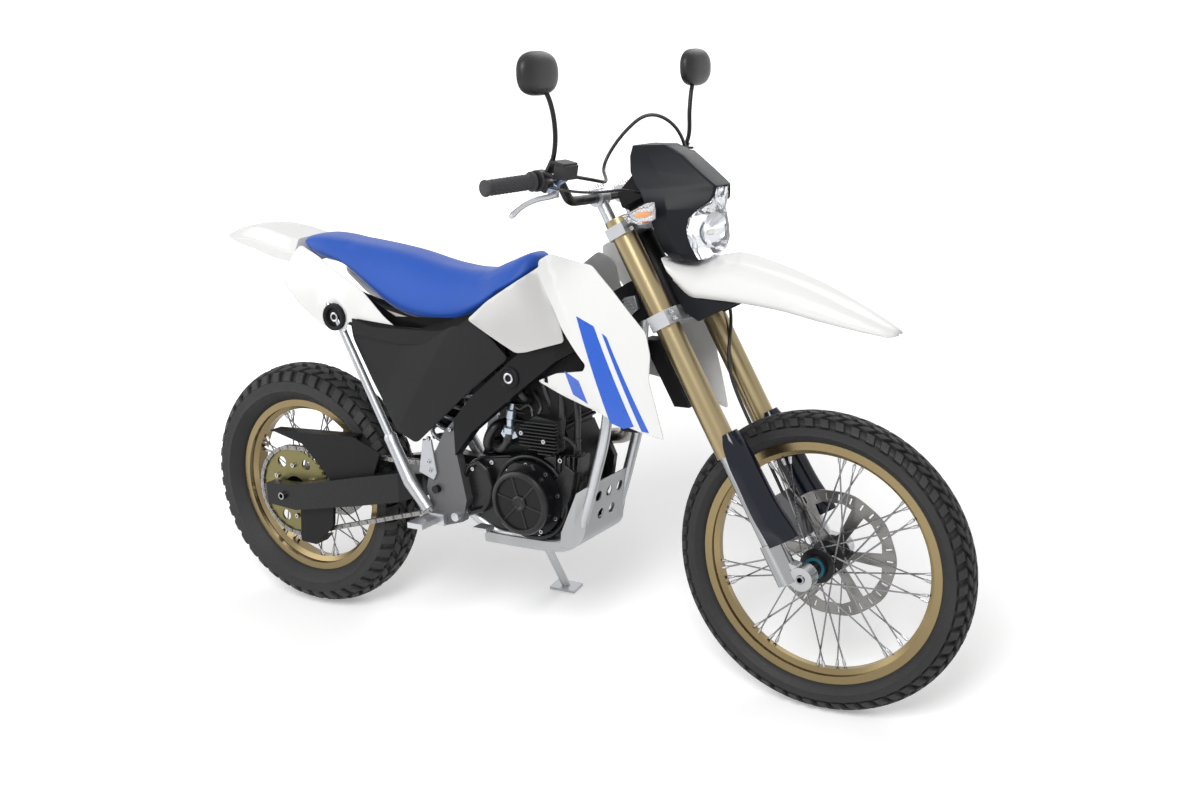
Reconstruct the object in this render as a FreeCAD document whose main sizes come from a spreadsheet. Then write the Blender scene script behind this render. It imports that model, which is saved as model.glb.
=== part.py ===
import FreeCAD, Part
import math
import os
import re

import Sketcher
from FreeCAD import Placement, Rotation, Vector

# Dual sport motorcycle, parked on its side stand.
# Every piece is drawn on an upright machine: +X forward, +Y to the rider's left, +Z up,
# the rear axle above x = 0 and the ground at z = 0. The placement LEAN then tips the
# whole machine to the left onto the stand and puts the middle of its outline at the origin.

SIZES = {
    # stance
    "lean_angle": 10,
    "ground_lift": 1,
    "middle_forward": 753,
    "middle_left": 209.6,
    "running_gap": 0.3,
    # chassis geometry
    "wheelbase": 1500,
    "rake": 27.84,
    "axle_offset": 58,
    "fork_offset": 23,
    "fork_spread": 107.6,
    "lower_clamp_reach": 635,
    "upper_clamp_reach": 852,
    "pivot_forward": 534,
    "pivot_height": 430,
    # rear wheel
    "rear_radius": 340.6,
    "rear_tyre_width": 140,
    "rear_bead_radius": 228.6,
    "rear_rim_width": 63.5,
    # front wheel
    "front_radius": 347.7,
    "front_tyre_width": 90,
    "front_bead_radius": 266.7,
    "front_rim_width": 40.6,
    # both wheels
    "lug_depth": 10,
    "tyre_wall": 9,
    "rim_wall": 4,
    "rim_flange": 14,
    "spoke_radius": 2,
    "spokes_per_wheel": 36,
    # hubs and axles
    "axle_bore": 6.2,
    "rear_axle_radius": 10,
    "rear_axle_half_length": 146,
    "rear_hub_half_width": 66,
    "rear_flange_radius": 58,
    "rear_flange_place": 40,
    "front_axle_radius": 10,
    "front_axle_half_length": 129,
    "front_hub_half_width": 48,
    "front_flange_radius": 40,
    "front_flange_place": 30,
    # brakes
    "front_disc_radius": 150,
    "front_disc_band": 32,
    "front_disc_place": 62,
    "rear_disc_radius": 120,
    "rear_disc_band": 30,
    "rear_disc_place": 76,
    "disc_thickness": 5,
    # chain drive
    "chain_line": 84,
    "chain_pitch": 15.875,
    "rear_teeth": 48,
    "front_teeth": 15,
    "roller_radius": 5.1,
    "link_height": 15,
    "link_thickness": 2.6,
    "link_place": 5.4,
    "sprocket_thickness": 6,
    "drive_forward": 655,
    "drive_height": 440,
    # swingarm
    "arm_inner_face": 102,
    "arm_thickness": 34,
    "pivot_tube_radius": 24,
    "pivot_shaft_radius": 10,
    # frame
    "head_tube_radius": 31,
    "stem_radius": 16,
    "spar_inner_face": 112,
    "spar_thickness": 32,
    "rail_radius": 12,
    "strut_radius": 10,
    "cradle_radius": 13,
    # fork
    "slider_radius": 28,
    "stanchion_radius": 22.5,
    "slider_reach": 306,
    "fork_top_reach": 880,
    "clamp_thickness": 34,
    # handlebar
    "bar_radius": 11,
    "bar_clamp_reach": 951,
    "bar_setback": 23,
    "grip_radius": 17,
    "grip_inner": 335,
    "grip_outer": 453,
    # covers
    "cover_wall": 4,
    "seat_wall_gap": 0.4,
    # side stand
    "stand_pivot_forward": 592,
    "stand_pivot_left": 152,
    "stand_pivot_height": 322,
    "stand_foot_forward": 640,
    "stand_foot_left": 262,
    "stand_tube_radius": 11,
}

doc = FreeCAD.newDocument("dual_sport")
sheet = doc.addObject("Spreadsheet::Sheet", "sizes")
for row, (alias, value) in enumerate(SIZES.items(), start=1):
    sheet.set("A%d" % row, str(value))
    sheet.setAlias("A%d" % row, alias)
doc.recompute()

SUB_PARTS = []


def size(alias):
    """Value of a driving dimension."""
    return float(sheet.get(alias))


def bound(text):
    """Expression with every driving dimension's name pointed at the sheet."""
    return re.sub(r"[a-z][a-z_]+", lambda word: "sizes." + word.group(0) if word.group(0) in SIZES
                  else word.group(0), text)


LEAN = Placement(Vector(-size("middle_forward"), -size("middle_left"), size("ground_lift")),
                 Rotation(Vector(1, 0, 0), -size("lean_angle")))
FRONT_AXLE = Vector(size("wheelbase"), 0, size("front_radius"))
REAR_AXLE = Vector(0, 0, size("rear_radius"))
PIVOT = Vector(size("pivot_forward"), 0, size("pivot_height"))
STEER_UP = Vector(-math.sin(math.radians(size("rake"))), 0, math.cos(math.radians(size("rake"))))
STEER_FORWARD = Vector(STEER_UP.z, 0, -STEER_UP.x)
STEER_BASE = FRONT_AXLE - STEER_FORWARD * size("axle_offset")


def steer(ahead, left, reach):
    """Point ahead of the steering axis, to the left, and up along it from the axle's level."""
    return STEER_BASE + STEER_FORWARD * ahead + STEER_UP * reach + Vector(0, left, 0)


HEAD = steer(0, 0, size("lower_clamp_reach"))


def from_pivot(forward, left, up):
    """Point placed from the swingarm pivot."""
    return PIVOT + Vector(forward, left, up)


def from_head(forward, left, up):
    """Point placed from the steering axis at the lower clamp."""
    return HEAD + Vector(forward, left, up)


def piece(label, shape):
    """Sub-part with a shape of its own, leaned with the machine."""
    item = doc.addObject("Part::Feature", label)
    item.Label = label
    item.Shape = shape
    item.Placement = LEAN
    SUB_PARTS.append(item)
    return item


def new_body(label, place=Vector(0, 0, 0)):
    """Sketch-based sub-part whose own origin is at the given point of the upright machine."""
    body = doc.addObject("PartDesign::Body", label)
    body.Label = label
    body.Placement = LEAN.multiply(Placement(place, Rotation()))
    SUB_PARTS.append(body)
    return body


def sketch_on(body, role, name):
    """Empty sketch on one of the body's own origin planes."""
    sketch = body.newObject("Sketcher::SketchObject", name)
    plane = [item for item in body.Origin.OriginFeatures if item.Role == role][0]
    sketch.AttachmentSupport = [(plane, "")]
    sketch.MapMode = "FlatFace"
    return sketch


def closed_outline(sketch, corners):
    """Closed outline of straight edges; each corner is a pair of expressions."""
    first = sketch.GeometryCount
    count = len(corners)
    guess = [Vector(100 + 10 * math.cos(2 * math.pi * k / count),
                    10 * math.sin(2 * math.pi * k / count), 0) for k in range(count)]
    for k in range(count):
        sketch.addGeometry(Part.LineSegment(guess[k], guess[(k + 1) % count]), False)
    for k in range(count):
        sketch.addConstraint(Sketcher.Constraint("Coincident", first + k, 2, first + (k + 1) % count, 1))
    for k, (across, along) in enumerate(corners):
        for axis, text, start in (("DistanceX", across, guess[k].x), ("DistanceY", along, guess[k].y)):
            index = sketch.addConstraint(Sketcher.Constraint(axis, -1, 1, first + k, 1, start))
            sketch.setExpression("Constraints[%d]" % index, bound(text))


def turned(label, place, corners):
    """Body turned about the wheel axis from a profile of radius and sideways place."""
    body = new_body(label, place)
    sketch = sketch_on(body, "XY_Plane", label + "_profile")
    closed_outline(sketch, corners)
    doc.recompute()
    turn = body.newObject("PartDesign::Revolution", label + "_turn")
    turn.Profile = sketch
    turn.ReferenceAxis = (sketch, ["V_Axis"])
    turn.Angle = 360
    doc.recompute()
    return body


def polygon(points):
    """Closed wire through points."""
    return Part.makePolygon(list(points) + [points[0]])


def side_plate(outline, left_from, left_to):
    """Solid of a side-view outline of points between two planes across the machine."""
    face = Part.Face(polygon([Vector(p.x, left_from, p.z) for p in outline]))
    return face.extrude(Vector(0, left_to - left_from, 0))


def both_sides(shape):
    """The shape and its mirror image on the other side of the machine."""
    return [shape, shape.mirror(Vector(0, 0, 0), Vector(0, 1, 0))]


def joined(shapes):
    """One shape from several that overlap or touch."""
    result = shapes[0].fuse(shapes[1:])
    return result.removeSplitter()


def rod(start, end, radius):
    """Round bar between two points."""
    return Part.makeCylinder(radius, (end - start).Length, start, end - start)


def cross_rod(middle, radius, left_from, left_to):
    """Round bar across the machine."""
    start = Vector(middle.x, left_from, middle.z)
    return Part.makeCylinder(radius, left_to - left_from, start, Vector(0, 1, 0))


def route(points, share=0.45):
    """Straight runs joined by tangent arcs as wide as the shorter run of each corner allows."""
    edges = []
    start = points[0]
    for before, corner, after in zip(points, points[1:], points[2:]):
        run_in = (before - corner).normalize()
        run_out = (after - corner).normalize()
        reach = share * min((before - corner).Length, (after - corner).Length)
        entry = corner + run_in * reach
        leave = corner + run_out * reach
        half_turn = (math.pi - run_in.getAngle(run_out)) / 2
        radius = reach / math.tan(half_turn)
        centre = corner + (run_in + run_out).normalize() * (radius / math.cos(half_turn))
        middle = centre + (corner - centre).normalize() * radius
        edges.append(Part.makeLine(start, entry))
        edges.append(Part.Arc(entry, middle, leave).toShape())
        start = leave
    edges.append(Part.makeLine(start, points[-1]))
    return Part.Wire(edges)


def tube(points, radius, share=0.45):
    """Round bar bent along a route."""
    path = route(points, share)
    first = path.Edges[0]
    section = Part.Wire(Part.makeCircle(radius, points[0], points[1] - points[0]))
    return path.makePipeShell([section], True, False)


def ruled(sections):
    """Straight-sided solid through closed sections of as many corners each."""
    return Part.makeLoft([polygon(points) for points in sections], True, True)


def block(station, left_from, left_to, low, high):
    """Upright rectangle across the machine at one station."""
    return [Vector(station, left_from, low), Vector(station, left_to, low),
            Vector(station, left_to, high), Vector(station, left_from, high)]


def moulded(outline, stations, levels, depths, wall):
    """Curved cover of a side-view outline, its inner face crowned through a grid of depths."""
    surface = Part.BSplineSurface()
    surface.interpolate([[Vector(x, depths[row][column], z) for column, x in enumerate(stations)]
                         for row, z in enumerate(levels)])
    sheet_solid = surface.toShape().extrude(Vector(0, -wall, 0))
    reach = max(abs(depth) for line in depths for depth in line) + 2 * wall
    return side_plate(outline, -reach, 0).common(sheet_solid)


# Wheels. Each profile is a half section: radius from the axle, then the place to the left.

def tyre(label, place, radius, width, bead, rim_width):
    """Knobbly tyre out to the tips of its lugs, open to the inside."""
    names = {"R": radius, "W": width, "B": bead, "F": rim_width}

    def put(text):
        return re.sub(r"\b[RWBF]\b", lambda letter: names[letter.group(0)], text)

    half = [("R", "W * 0.05"), ("R - W * 0.03", "W * 0.22"), ("R - W * 0.1", "W * 0.36"),
            ("R - W * 0.17", "W * 0.45"), ("R - W * 0.24", "W * 0.5"), ("(R + B) / 2", "W * 0.485"),
            ("B + rim_flange + 4", "F / 2 + rim_wall + 3"),
            ("B + rim_flange + running_gap", "F / 2 - running_gap"),
            ("B + running_gap", "F / 2 - running_gap"), ("B + running_gap", "F / 2 - 8"),
            ("B + rim_flange + 6", "F / 2 - 8"), ("(R + B) / 2", "W * 0.485 - tyre_wall"),
            ("R - lug_depth - tyre_wall * 1.6", "W * 0.32")]
    corners = [(put(r), put(w)) for r, w in half]
    corners += [(put(r), "-(" + put(w) + ")") for r, w in reversed(half)]
    return turned(label, place, corners)


def rim(label, place, bead, rim_width):
    """Spoked rim with a dropped middle and rolled flanges."""
    names = {"B": bead, "F": rim_width}

    def put(text):
        return re.sub(r"\b[BF]\b", lambda letter: names[letter.group(0)], text)

    half = [("B - 12", "0"), ("B - 12", "F * 0.2"), ("B", "F * 0.34"), ("B", "F / 2"),
            ("B + rim_flange", "F / 2"), ("B + rim_flange", "F / 2 + rim_wall"),
            ("B - rim_wall", "F / 2 + rim_wall"), ("B - rim_wall", "F * 0.34"),
            ("B - 12 - rim_wall", "F * 0.2"), ("B - 12 - rim_wall", "0")]
    left_half = [(put(r), put(w)) for r, w in half]
    right_half = [(r, "-(" + w + ")") for r, w in left_half[1:-1]]
    return turned(label, place, left_half + list(reversed(right_half)))


def spokes(label, place, flange_radius, flange_place, rim_radius):
    """Crossed wire spokes from both hub flanges to the rim, each a thin hexagonal wire."""
    per_side = int(size("spokes_per_wheel") / 2)
    wires = []
    for side in (-1, 1):
        for k in range(per_side):
            lead = 1 if k % 2 else -1
            start_angle = 2 * math.pi * k / per_side + (side + 1) * math.pi / (2 * per_side)
            end_angle = start_angle + lead * math.radians(52)
            layer = flange_place + lead * (size("spoke_radius") + 1.2)
            start = Vector(flange_radius * math.cos(start_angle), side * layer,
                           flange_radius * math.sin(start_angle))
            end = Vector(rim_radius * math.cos(end_angle), side * (6 + lead * 2.6),
                         rim_radius * math.sin(end_angle))
            wires.append(place_prism(place + start, place + end, size("spoke_radius")))
    return piece(label, Part.makeCompound(wires))


def place_prism(start, end, radius):
    """Thin hexagonal bar between two points."""
    axis = end - start
    turn = Rotation(Vector(0, 0, 1), axis)
    ring = [start + turn.multVec(Vector(radius * math.cos(k * math.pi / 3),
                                        radius * math.sin(k * math.pi / 3), 0)) for k in range(6)]
    return Part.Face(polygon(ring)).extrude(axis)


def brake_disc(label, place, radius, band, disc_place, centre_radius):
    """Ventilated brake disc with its carrier."""
    r = size(radius)
    inner = r - size(band)
    y0 = size(disc_place) - size("disc_thickness") / 2
    ring = Part.makeCylinder(r, size("disc_thickness"), place + Vector(0, y0, 0), Vector(0, 1, 0))
    hole = Part.makeCylinder(inner, size("disc_thickness"), place + Vector(0, y0, 0), Vector(0, 1, 0))
    arms = []
    for k in range(6):
        angle = 2 * math.pi * k / 6
        out = Vector(math.cos(angle), 0, math.sin(angle))
        arm = Part.makeBox(inner + 4 - centre_radius + 6, size("disc_thickness"), 14)
        arm.Placement = Placement(Vector(centre_radius - 6, y0, -7), Rotation())
        arm.rotate(Vector(0, 0, 0), Vector(0, 1, 0), -math.degrees(angle))
        arm.translate(place)
        arms.append(arm)
    centre = Part.makeCylinder(centre_radius, size("disc_thickness"), place + Vector(0, y0, 0), Vector(0, 1, 0))
    bore = Part.makeCylinder(centre_radius - 14, size("disc_thickness"), place + Vector(0, y0, 0),
                             Vector(0, 1, 0))
    return piece(label, joined([ring.cut(hole), centre] + arms).cut(bore))


# rear wheel
tyre("rear_tyre", REAR_AXLE, "rear_radius", "rear_tyre_width", "rear_bead_radius", "rear_rim_width")
rim("rear_rim", REAR_AXLE, "rear_bead_radius", "rear_rim_width")
turned("rear_hub", REAR_AXLE, [
    ("rear_axle_radius + running_gap", "-rear_hub_half_width"),
    ("rear_flange_radius", "-rear_hub_half_width"),
    ("rear_flange_radius", "-rear_flange_place + 4"),
    ("34", "-rear_flange_place + 12"),
    ("34", "rear_flange_place - 12"),
    ("rear_flange_radius", "rear_flange_place - 4"),
    ("rear_flange_radius", "rear_flange_place + 4"),
    ("44", "rear_flange_place + 8"),
    ("44", "rear_disc_place - disc_thickness / 2"),
    ("rear_axle_radius + running_gap", "rear_disc_place - disc_thickness / 2"),
])
spokes("rear_spokes", REAR_AXLE, size("rear_flange_radius") + 2.5, size("rear_flange_place") - 1,
       size("rear_bead_radius") - 17)
brake_disc("rear_disc", REAR_AXLE, "rear_disc_radius", "rear_disc_band", "rear_disc_place", 44)

# front wheel
tyre("front_tyre", FRONT_AXLE, "front_radius", "front_tyre_width", "front_bead_radius", "front_rim_width")
rim("front_rim", FRONT_AXLE, "front_bead_radius", "front_rim_width")
turned("front_hub", FRONT_AXLE, [
    ("front_axle_radius + running_gap", "-front_hub_half_width"),
    ("26", "-front_hub_half_width"),
    ("28", "-front_flange_place - 5"),
    ("front_flange_radius", "-front_flange_place - 3"),
    ("front_flange_radius", "-front_flange_place + 3"),
    ("24", "-front_flange_place + 9"),
    ("24", "front_flange_place - 9"),
    ("front_flange_radius", "front_flange_place - 3"),
    ("front_flange_radius", "front_flange_place + 3"),
    ("36", "front_flange_place + 6"),
    ("36", "front_disc_place - disc_thickness / 2"),
    ("front_axle_radius + running_gap", "front_disc_place - disc_thickness / 2"),
])
spokes("front_spokes", FRONT_AXLE, size("front_flange_radius") + 2.5, size("front_flange_place") - 1,
       size("front_bead_radius") - 17)
brake_disc("front_disc", FRONT_AXLE, "front_disc_radius", "front_disc_band", "front_disc_place", 36)


# Chain drive on the right-hand side.

CHAIN_Y = -size("chain_line")
REAR_PITCH = size("chain_pitch") / (2 * math.sin(math.pi / size("rear_teeth")))
FRONT_PITCH = size("chain_pitch") / (2 * math.sin(math.pi / size("front_teeth")))
DRIVE = Vector(size("drive_forward"), CHAIN_Y, size("drive_height"))
DRIVEN = REAR_AXLE + Vector(0, CHAIN_Y, 0)


def sprocket(centre, teeth, pitch_radius, bore, thickness):
    """Toothed wheel; its gaps are as deep as a chain roller."""
    points = []
    for k in range(int(teeth)):
        for part_turn, radius in ((-0.26, pitch_radius - size("roller_radius")),
                                  (0.26, pitch_radius - size("roller_radius")),
                                  (0.42, pitch_radius + 4), (0.58, pitch_radius + 4)):
            angle = 2 * math.pi * (k + part_turn) / teeth
            points.append(centre + Vector(radius * math.cos(angle), -thickness / 2,
                                          radius * math.sin(angle)))
    disc = Part.Face(polygon(points)).extrude(Vector(0, thickness, 0))
    return disc.cut(cross_rod(centre, bore, centre.y - thickness, centre.y + thickness))


def rear_sprocket():
    """Driven sprocket with lightening windows, bolted to the hub's right face."""
    wheel = sprocket(DRIVEN, size("rear_teeth"), REAR_PITCH, 40, size("sprocket_thickness"))
    windows = []
    for k in range(6):
        angle = 2 * math.pi * k / 6
        middle = DRIVEN + Vector(88 * math.cos(angle), 0, 88 * math.sin(angle))
        windows.append(cross_rod(middle, 15, CHAIN_Y - 10, CHAIN_Y + 10))
    wheel = wheel.cut(windows)
    rim_face = -size("rear_hub_half_width")
    carrier = cross_rod(REAR_AXLE, 54, CHAIN_Y - size("sprocket_thickness") / 2, rim_face)
    inside = cross_rod(REAR_AXLE, 40, CHAIN_Y - 10, 0)
    return wheel.fuse(carrier.cut(inside))


piece("rear_sprocket", rear_sprocket())


def chain_loop(offset):
    """Closed loop at a distance outside the chain's pitch line, as a face."""
    low_r = REAR_PITCH + offset
    high_r = FRONT_PITCH + offset
    span = Vector(DRIVE.x - DRIVEN.x, 0, DRIVE.z - DRIVEN.z)
    tilt = math.atan2(span.z, span.x)
    lean_in = math.acos((low_r - high_r) / span.Length)
    top = tilt + lean_in
    bottom = tilt - lean_in

    def on(centre, radius, angle):
        return Vector(centre.x + radius * math.cos(angle), CHAIN_Y, centre.z + radius * math.sin(angle))

    rear_middle = tilt + math.pi
    edges = [
        Part.Arc(on(DRIVEN, low_r, top), on(DRIVEN, low_r, rear_middle), on(DRIVEN, low_r, bottom)).toShape(),
        Part.makeLine(on(DRIVEN, low_r, bottom), on(DRIVE, high_r, bottom)),
        Part.Arc(on(DRIVE, high_r, bottom), on(DRIVE, high_r, tilt), on(DRIVE, high_r, top)).toShape(),
        Part.makeLine(on(DRIVE, high_r, top), on(DRIVEN, low_r, top)),
    ]
    return Part.Face(Part.Wire(edges))


def chain():
    """Two rows of link plates that run round both sprockets."""
    half = size("link_height") / 2
    band = chain_loop(half).cut(chain_loop(-half))
    rows = []
    for side in (-1, 1):
        start = band.copy()
        start.translate(Vector(0, side * size("link_place") - size("link_thickness") / 2, 0))
        rows.append(start.extrude(Vector(0, size("link_thickness"), 0)))
    return Part.makeCompound(rows)


piece("drive_chain", chain())
piece("rear_axle", cross_rod(REAR_AXLE, size("rear_axle_radius"), -size("rear_axle_half_length"),
                             size("rear_axle_half_length")).cut(
    cross_rod(REAR_AXLE, size("axle_bore"), -200, 200)))


# Swingarm, its pivot shaft and the rear shock.

def swingarm():
    """Two tapered box arms joined by a bridge ahead of the wheel and by the pivot tube."""
    inner = size("arm_inner_face")
    outer = inner + size("arm_thickness")
    axle = REAR_AXLE
    arm = ruled([
        block(axle.x - 72, -outer + 4, -inner, axle.z - 22, axle.z + 22),
        block(axle.x - 60, -outer, -inner, axle.z - 30, axle.z + 28),
        block(axle.x + 40, -outer, -inner, axle.z - 37, axle.z + 33),
        block(PIVOT.x - 270, -outer, -inner, PIVOT.z - 84, PIVOT.z - 7),
        block(PIVOT.x - 130, -outer, -inner + 22, PIVOT.z - 54, PIVOT.z + 22),
        block(PIVOT.x - 70, -110, -80, PIVOT.z - 36, PIVOT.z + 22),
        block(PIVOT.x, -110, -82, PIVOT.z - 20, PIVOT.z + 20),
    ])
    bridge = Part.makeBox(74, 2 * inner, 60, Vector(PIVOT.x - 164, -inner, PIVOT.z - 42))
    pivot_tube = cross_rod(PIVOT, size("pivot_tube_radius"), -110, 110)
    lug = side_plate([from_pivot(-110, 0, 10), from_pivot(-60, 0, 10), from_pivot(-64, 0, 48),
                      from_pivot(-92, 0, 48)], 20, 30)
    whole = joined(both_sides(arm) + [bridge, pivot_tube] + both_sides(lug))
    bore = cross_rod(PIVOT, size("pivot_shaft_radius") + size("running_gap"), -200, 200)
    axle_bore = cross_rod(REAR_AXLE, size("rear_axle_radius") + size("running_gap"), -200, 200)
    return whole.cut([bore, axle_bore])


ARMS = swingarm()
piece("swingarm", ARMS)
piece("pivot_shaft", cross_rod(PIVOT, size("pivot_shaft_radius"), -150, 150))

SHOCK_LOW = from_pivot(-78, 0, 34)
SHOCK_TOP = from_pivot(-10, 0, 340)


def shock():
    """Rear damper with its eyes."""
    axis = (SHOCK_TOP - SHOCK_LOW).normalize()
    span = (SHOCK_TOP - SHOCK_LOW).Length
    shaft = rod(SHOCK_LOW + axis * 5, SHOCK_LOW + axis * 100, 9)
    can = rod(SHOCK_LOW + axis * 90, SHOCK_LOW + axis * (span - 12), 30)
    low_eye = cross_rod(SHOCK_LOW, 14, -19, 19)
    top_eye = cross_rod(SHOCK_TOP, 18, -15, 15)
    body_shape = joined([shaft, can, low_eye, top_eye])
    return body_shape.cut(cross_rod(SHOCK_TOP, size("rail_radius") + size("running_gap"), -50, 50))


piece("rear_shock", shock())


# Frame.

def spar():
    """Right-hand beam from the pivot casting up to the steering head."""
    inner = size("spar_inner_face")
    outer = inner + size("spar_thickness")
    return ruled([
        block(PIVOT.x + 66, -outer, -inner, PIVOT.z + 95, PIVOT.z + 185),
        block(PIVOT.x + 121, -outer, -inner, PIVOT.z + 160, PIVOT.z + 246),
        block(PIVOT.x + 249, -outer, -inner, PIVOT.z + 262, PIVOT.z + 350),
        block(HEAD.x - 252, -outer + 6, -inner + 7, HEAD.z - 100, HEAD.z - 12),
        block(HEAD.x - 152, -96, -60, HEAD.z - 44, HEAD.z + 43),
        block(HEAD.x - 107, -50, -22, HEAD.z - 18, HEAD.z + 76),
        block(HEAD.x - 50, -42, 5, HEAD.z - 2, HEAD.z + 103),
    ])


def main_frame():
    """Twin spars fused to the head tube."""
    low = size("lower_clamp_reach") + size("clamp_thickness") / 2 + 1
    high = size("upper_clamp_reach") - 14
    head = rod(steer(0, 0, low), steer(0, 0, high), size("head_tube_radius"))
    whole = joined(both_sides(spar()) + [head])
    bore = rod(steer(0, 0, low - 30), steer(0, 0, high + 30), size("stem_radius") + size("running_gap"))
    return whole.cut(bore)


FRAME = main_frame()
piece("main_frame", FRAME)


def pivot_castings():
    """Cast plates that carry the swingarm shaft on both sides."""
    inner = size("spar_inner_face")
    outer = inner + size("spar_thickness")
    outline = [from_pivot(66, 0, 185), from_pivot(30, 0, 150), from_pivot(-16, 0, 70),
               from_pivot(-34, 0, 0), from_pivot(-22, 0, -58), from_pivot(10, 0, -96),
               from_pivot(70, 0, -78), from_pivot(88, 0, -20), from_pivot(66, 0, 95)]
    plate = side_plate(outline, -outer + 6, -inner)
    bore = cross_rod(PIVOT, size("pivot_shaft_radius") + size("running_gap"), -200, 200)
    return plate.cut(bore)


CASTING = pivot_castings()


def left_casting():
    """Left plate with the ear that carries the side stand's pin."""
    ear = side_plate([from_pivot(10, 0, -90), from_pivot(70, 0, -70), from_pivot(84, 0, -104),
                      from_pivot(66, 0, -136), from_pivot(34, 0, -128)], 118, 132)
    plate = CASTING.mirror(Vector(0, 0, 0), Vector(0, 1, 0))
    return plate.fuse(ear).cut(stand_pin(size("running_gap")))


def stand_pin(gap):
    """Pin of the side stand along its tilted axis."""
    return rod(STAND_PIVOT - STAND_AXIS * 44, STAND_PIVOT + STAND_AXIS * 14, 8 + gap)


STAND_AXIS = Vector(0.01, 0.926, 0.378).normalize()
STAND_PIVOT = Vector(size("stand_pivot_forward"), size("stand_pivot_left"), size("stand_pivot_height"))
piece("pivot_castings", Part.makeCompound([CASTING, left_casting()]))


def rear_subframe():
    """Upper seat rails with cross tubes that carry the shock and the tail."""
    line = size("spar_inner_face") - size("rail_radius") - size("running_gap")
    rail_points = [from_pivot(230, -line, 300), from_pivot(60, -line, 340), from_pivot(-120, -line, 362),
                   from_pivot(-380, -88, 420), from_pivot(-500, -70, 478)]
    rail = tube(rail_points, size("rail_radius"), 0.3)
    cross = cross_rod(SHOCK_TOP, size("rail_radius"), -line, line)
    rear_cross = cross_rod(from_pivot(-440, 0, 449), size("rail_radius"), -78, 78)
    return joined(both_sides(rail) + [cross, rear_cross])


SUBFRAME = rear_subframe()
piece("rear_subframe", SUBFRAME)


def strut():
    """Right-hand stay from the seat rail down to the footpeg."""
    points = [from_pivot(-272, -100, 372), from_pivot(-140, -152, 140), from_pivot(-66, -158, 40),
              from_pivot(-20, -156, -40)]
    boss = cross_rod(from_pivot(-20, 0, -40), 14, -168, -size("spar_inner_face") - 26)
    return tube(points, size("strut_radius"), 0.3).fuse(boss).cut(SUBFRAME)


piece("frame_stays", Part.makeCompound(both_sides(strut())))


def cradle():
    """Tubes that run down ahead of the engine and back beneath it."""
    base = size("cradle_radius") + size("running_gap") - 124
    points = [from_head(-126, -58, -10), from_head(-160, -82, -290), from_pivot(412, -84, 14),
              from_pivot(384, -84, -70), from_pivot(330, -84, base), from_pivot(140, -84, base),
              from_pivot(84, -100, -70), from_pivot(62, -118, -30)]
    return tube(points, size("cradle_radius"), 0.3).cut(FRAME).cut(CASTING)


piece("engine_cradle", Part.makeCompound(both_sides(cradle())))


# Engine.

def crankcase():
    """Crankcase block at the place of the engine's mass."""
    outline = [from_pivot(86, 0, -20), from_pivot(80, 0, 50), from_pivot(110, 0, 130),
               from_pivot(200, 0, 172), from_pivot(340, 0, 170), from_pivot(372, 0, 100),
               from_pivot(376, 0, 10), from_pivot(350, 0, -80), from_pivot(270, 0, -96),
               from_pivot(150, 0, -96), from_pivot(96, 0, -70)]
    return side_plate(outline, -66, 66)


CRANKCASE = crankcase()
piece("crankcase", CRANKCASE)


def cylinder():
    """Barrel and head above the crankcase."""
    outline = [from_pivot(204, 0, 160), from_pivot(338, 0, 160), from_pivot(330, 0, 300),
               from_pivot(336, 0, 390), from_pivot(190, 0, 372), from_pivot(196, 0, 290)]
    return side_plate(outline, -62, 62).cut(CRANKCASE)


CYLINDER = cylinder()
piece("cylinder", CYLINDER)

COVER_CENTRE = from_pivot(262, 0, 4)


def right_cover():
    """Round alternator cover on its flange."""
    low = cross_rod(COVER_CENTRE, 92, -120, -66)
    high = cross_rod(COVER_CENTRE, 76, -160, -120)
    return joined([low, high])


def sprocket_cover():
    """Cover over the drive sprocket, open to the rear for the chain."""
    outline = [from_pivot(88, 0, -6), from_pivot(118, 0, 92), from_pivot(166, 0, 104),
               from_pivot(180, 0, 60), from_pivot(172, 0, -50), from_pivot(120, 0, -66)]
    plate = side_plate(outline, -128, -100)
    return plate.cut(cross_rod(COVER_CENTRE, 92 + 2, -200, 0))


LEFT_COVER = joined([cross_rod(from_pivot(250, 0, 10), 96, 66, 112),
                     cross_rod(from_pivot(150, 0, 20), 60, 66, 100)])
piece("engine_covers", Part.makeCompound([right_cover(), LEFT_COVER]))
piece("sprocket_cover", sprocket_cover())
piece("drive_sprocket", joined([
    sprocket(DRIVE, size("front_teeth"), FRONT_PITCH, 5, 6),
    cross_rod(DRIVE, 16, CHAIN_Y - 8, -66)]))


def rectifier():
    """Finned box on the right of the cylinder."""
    outline = [from_pivot(251, 0, 178), from_pivot(264, 0, 204), from_pivot(363, 0, 202),
               from_pivot(363, 0, 184), from_pivot(300, 0, 176)]
    return side_plate(outline, -140, -66)


piece("rectifier", rectifier())


def bash_plate():
    """Folded guard in front of and below the engine."""
    outline = [from_pivot(446, 0, 54), from_pivot(440, 0, 54), from_pivot(424, 0, -34),
               from_pivot(398, 0, -93), from_pivot(342, 0, -124), from_pivot(116, 0, -124),
               from_pivot(116, 0, -128), from_pivot(344, 0, -128), from_pivot(402, 0, -95),
               from_pivot(429, 0, -34)]
    return side_plate(outline, -110, 110)


# Steering, fork and front end.

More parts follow.
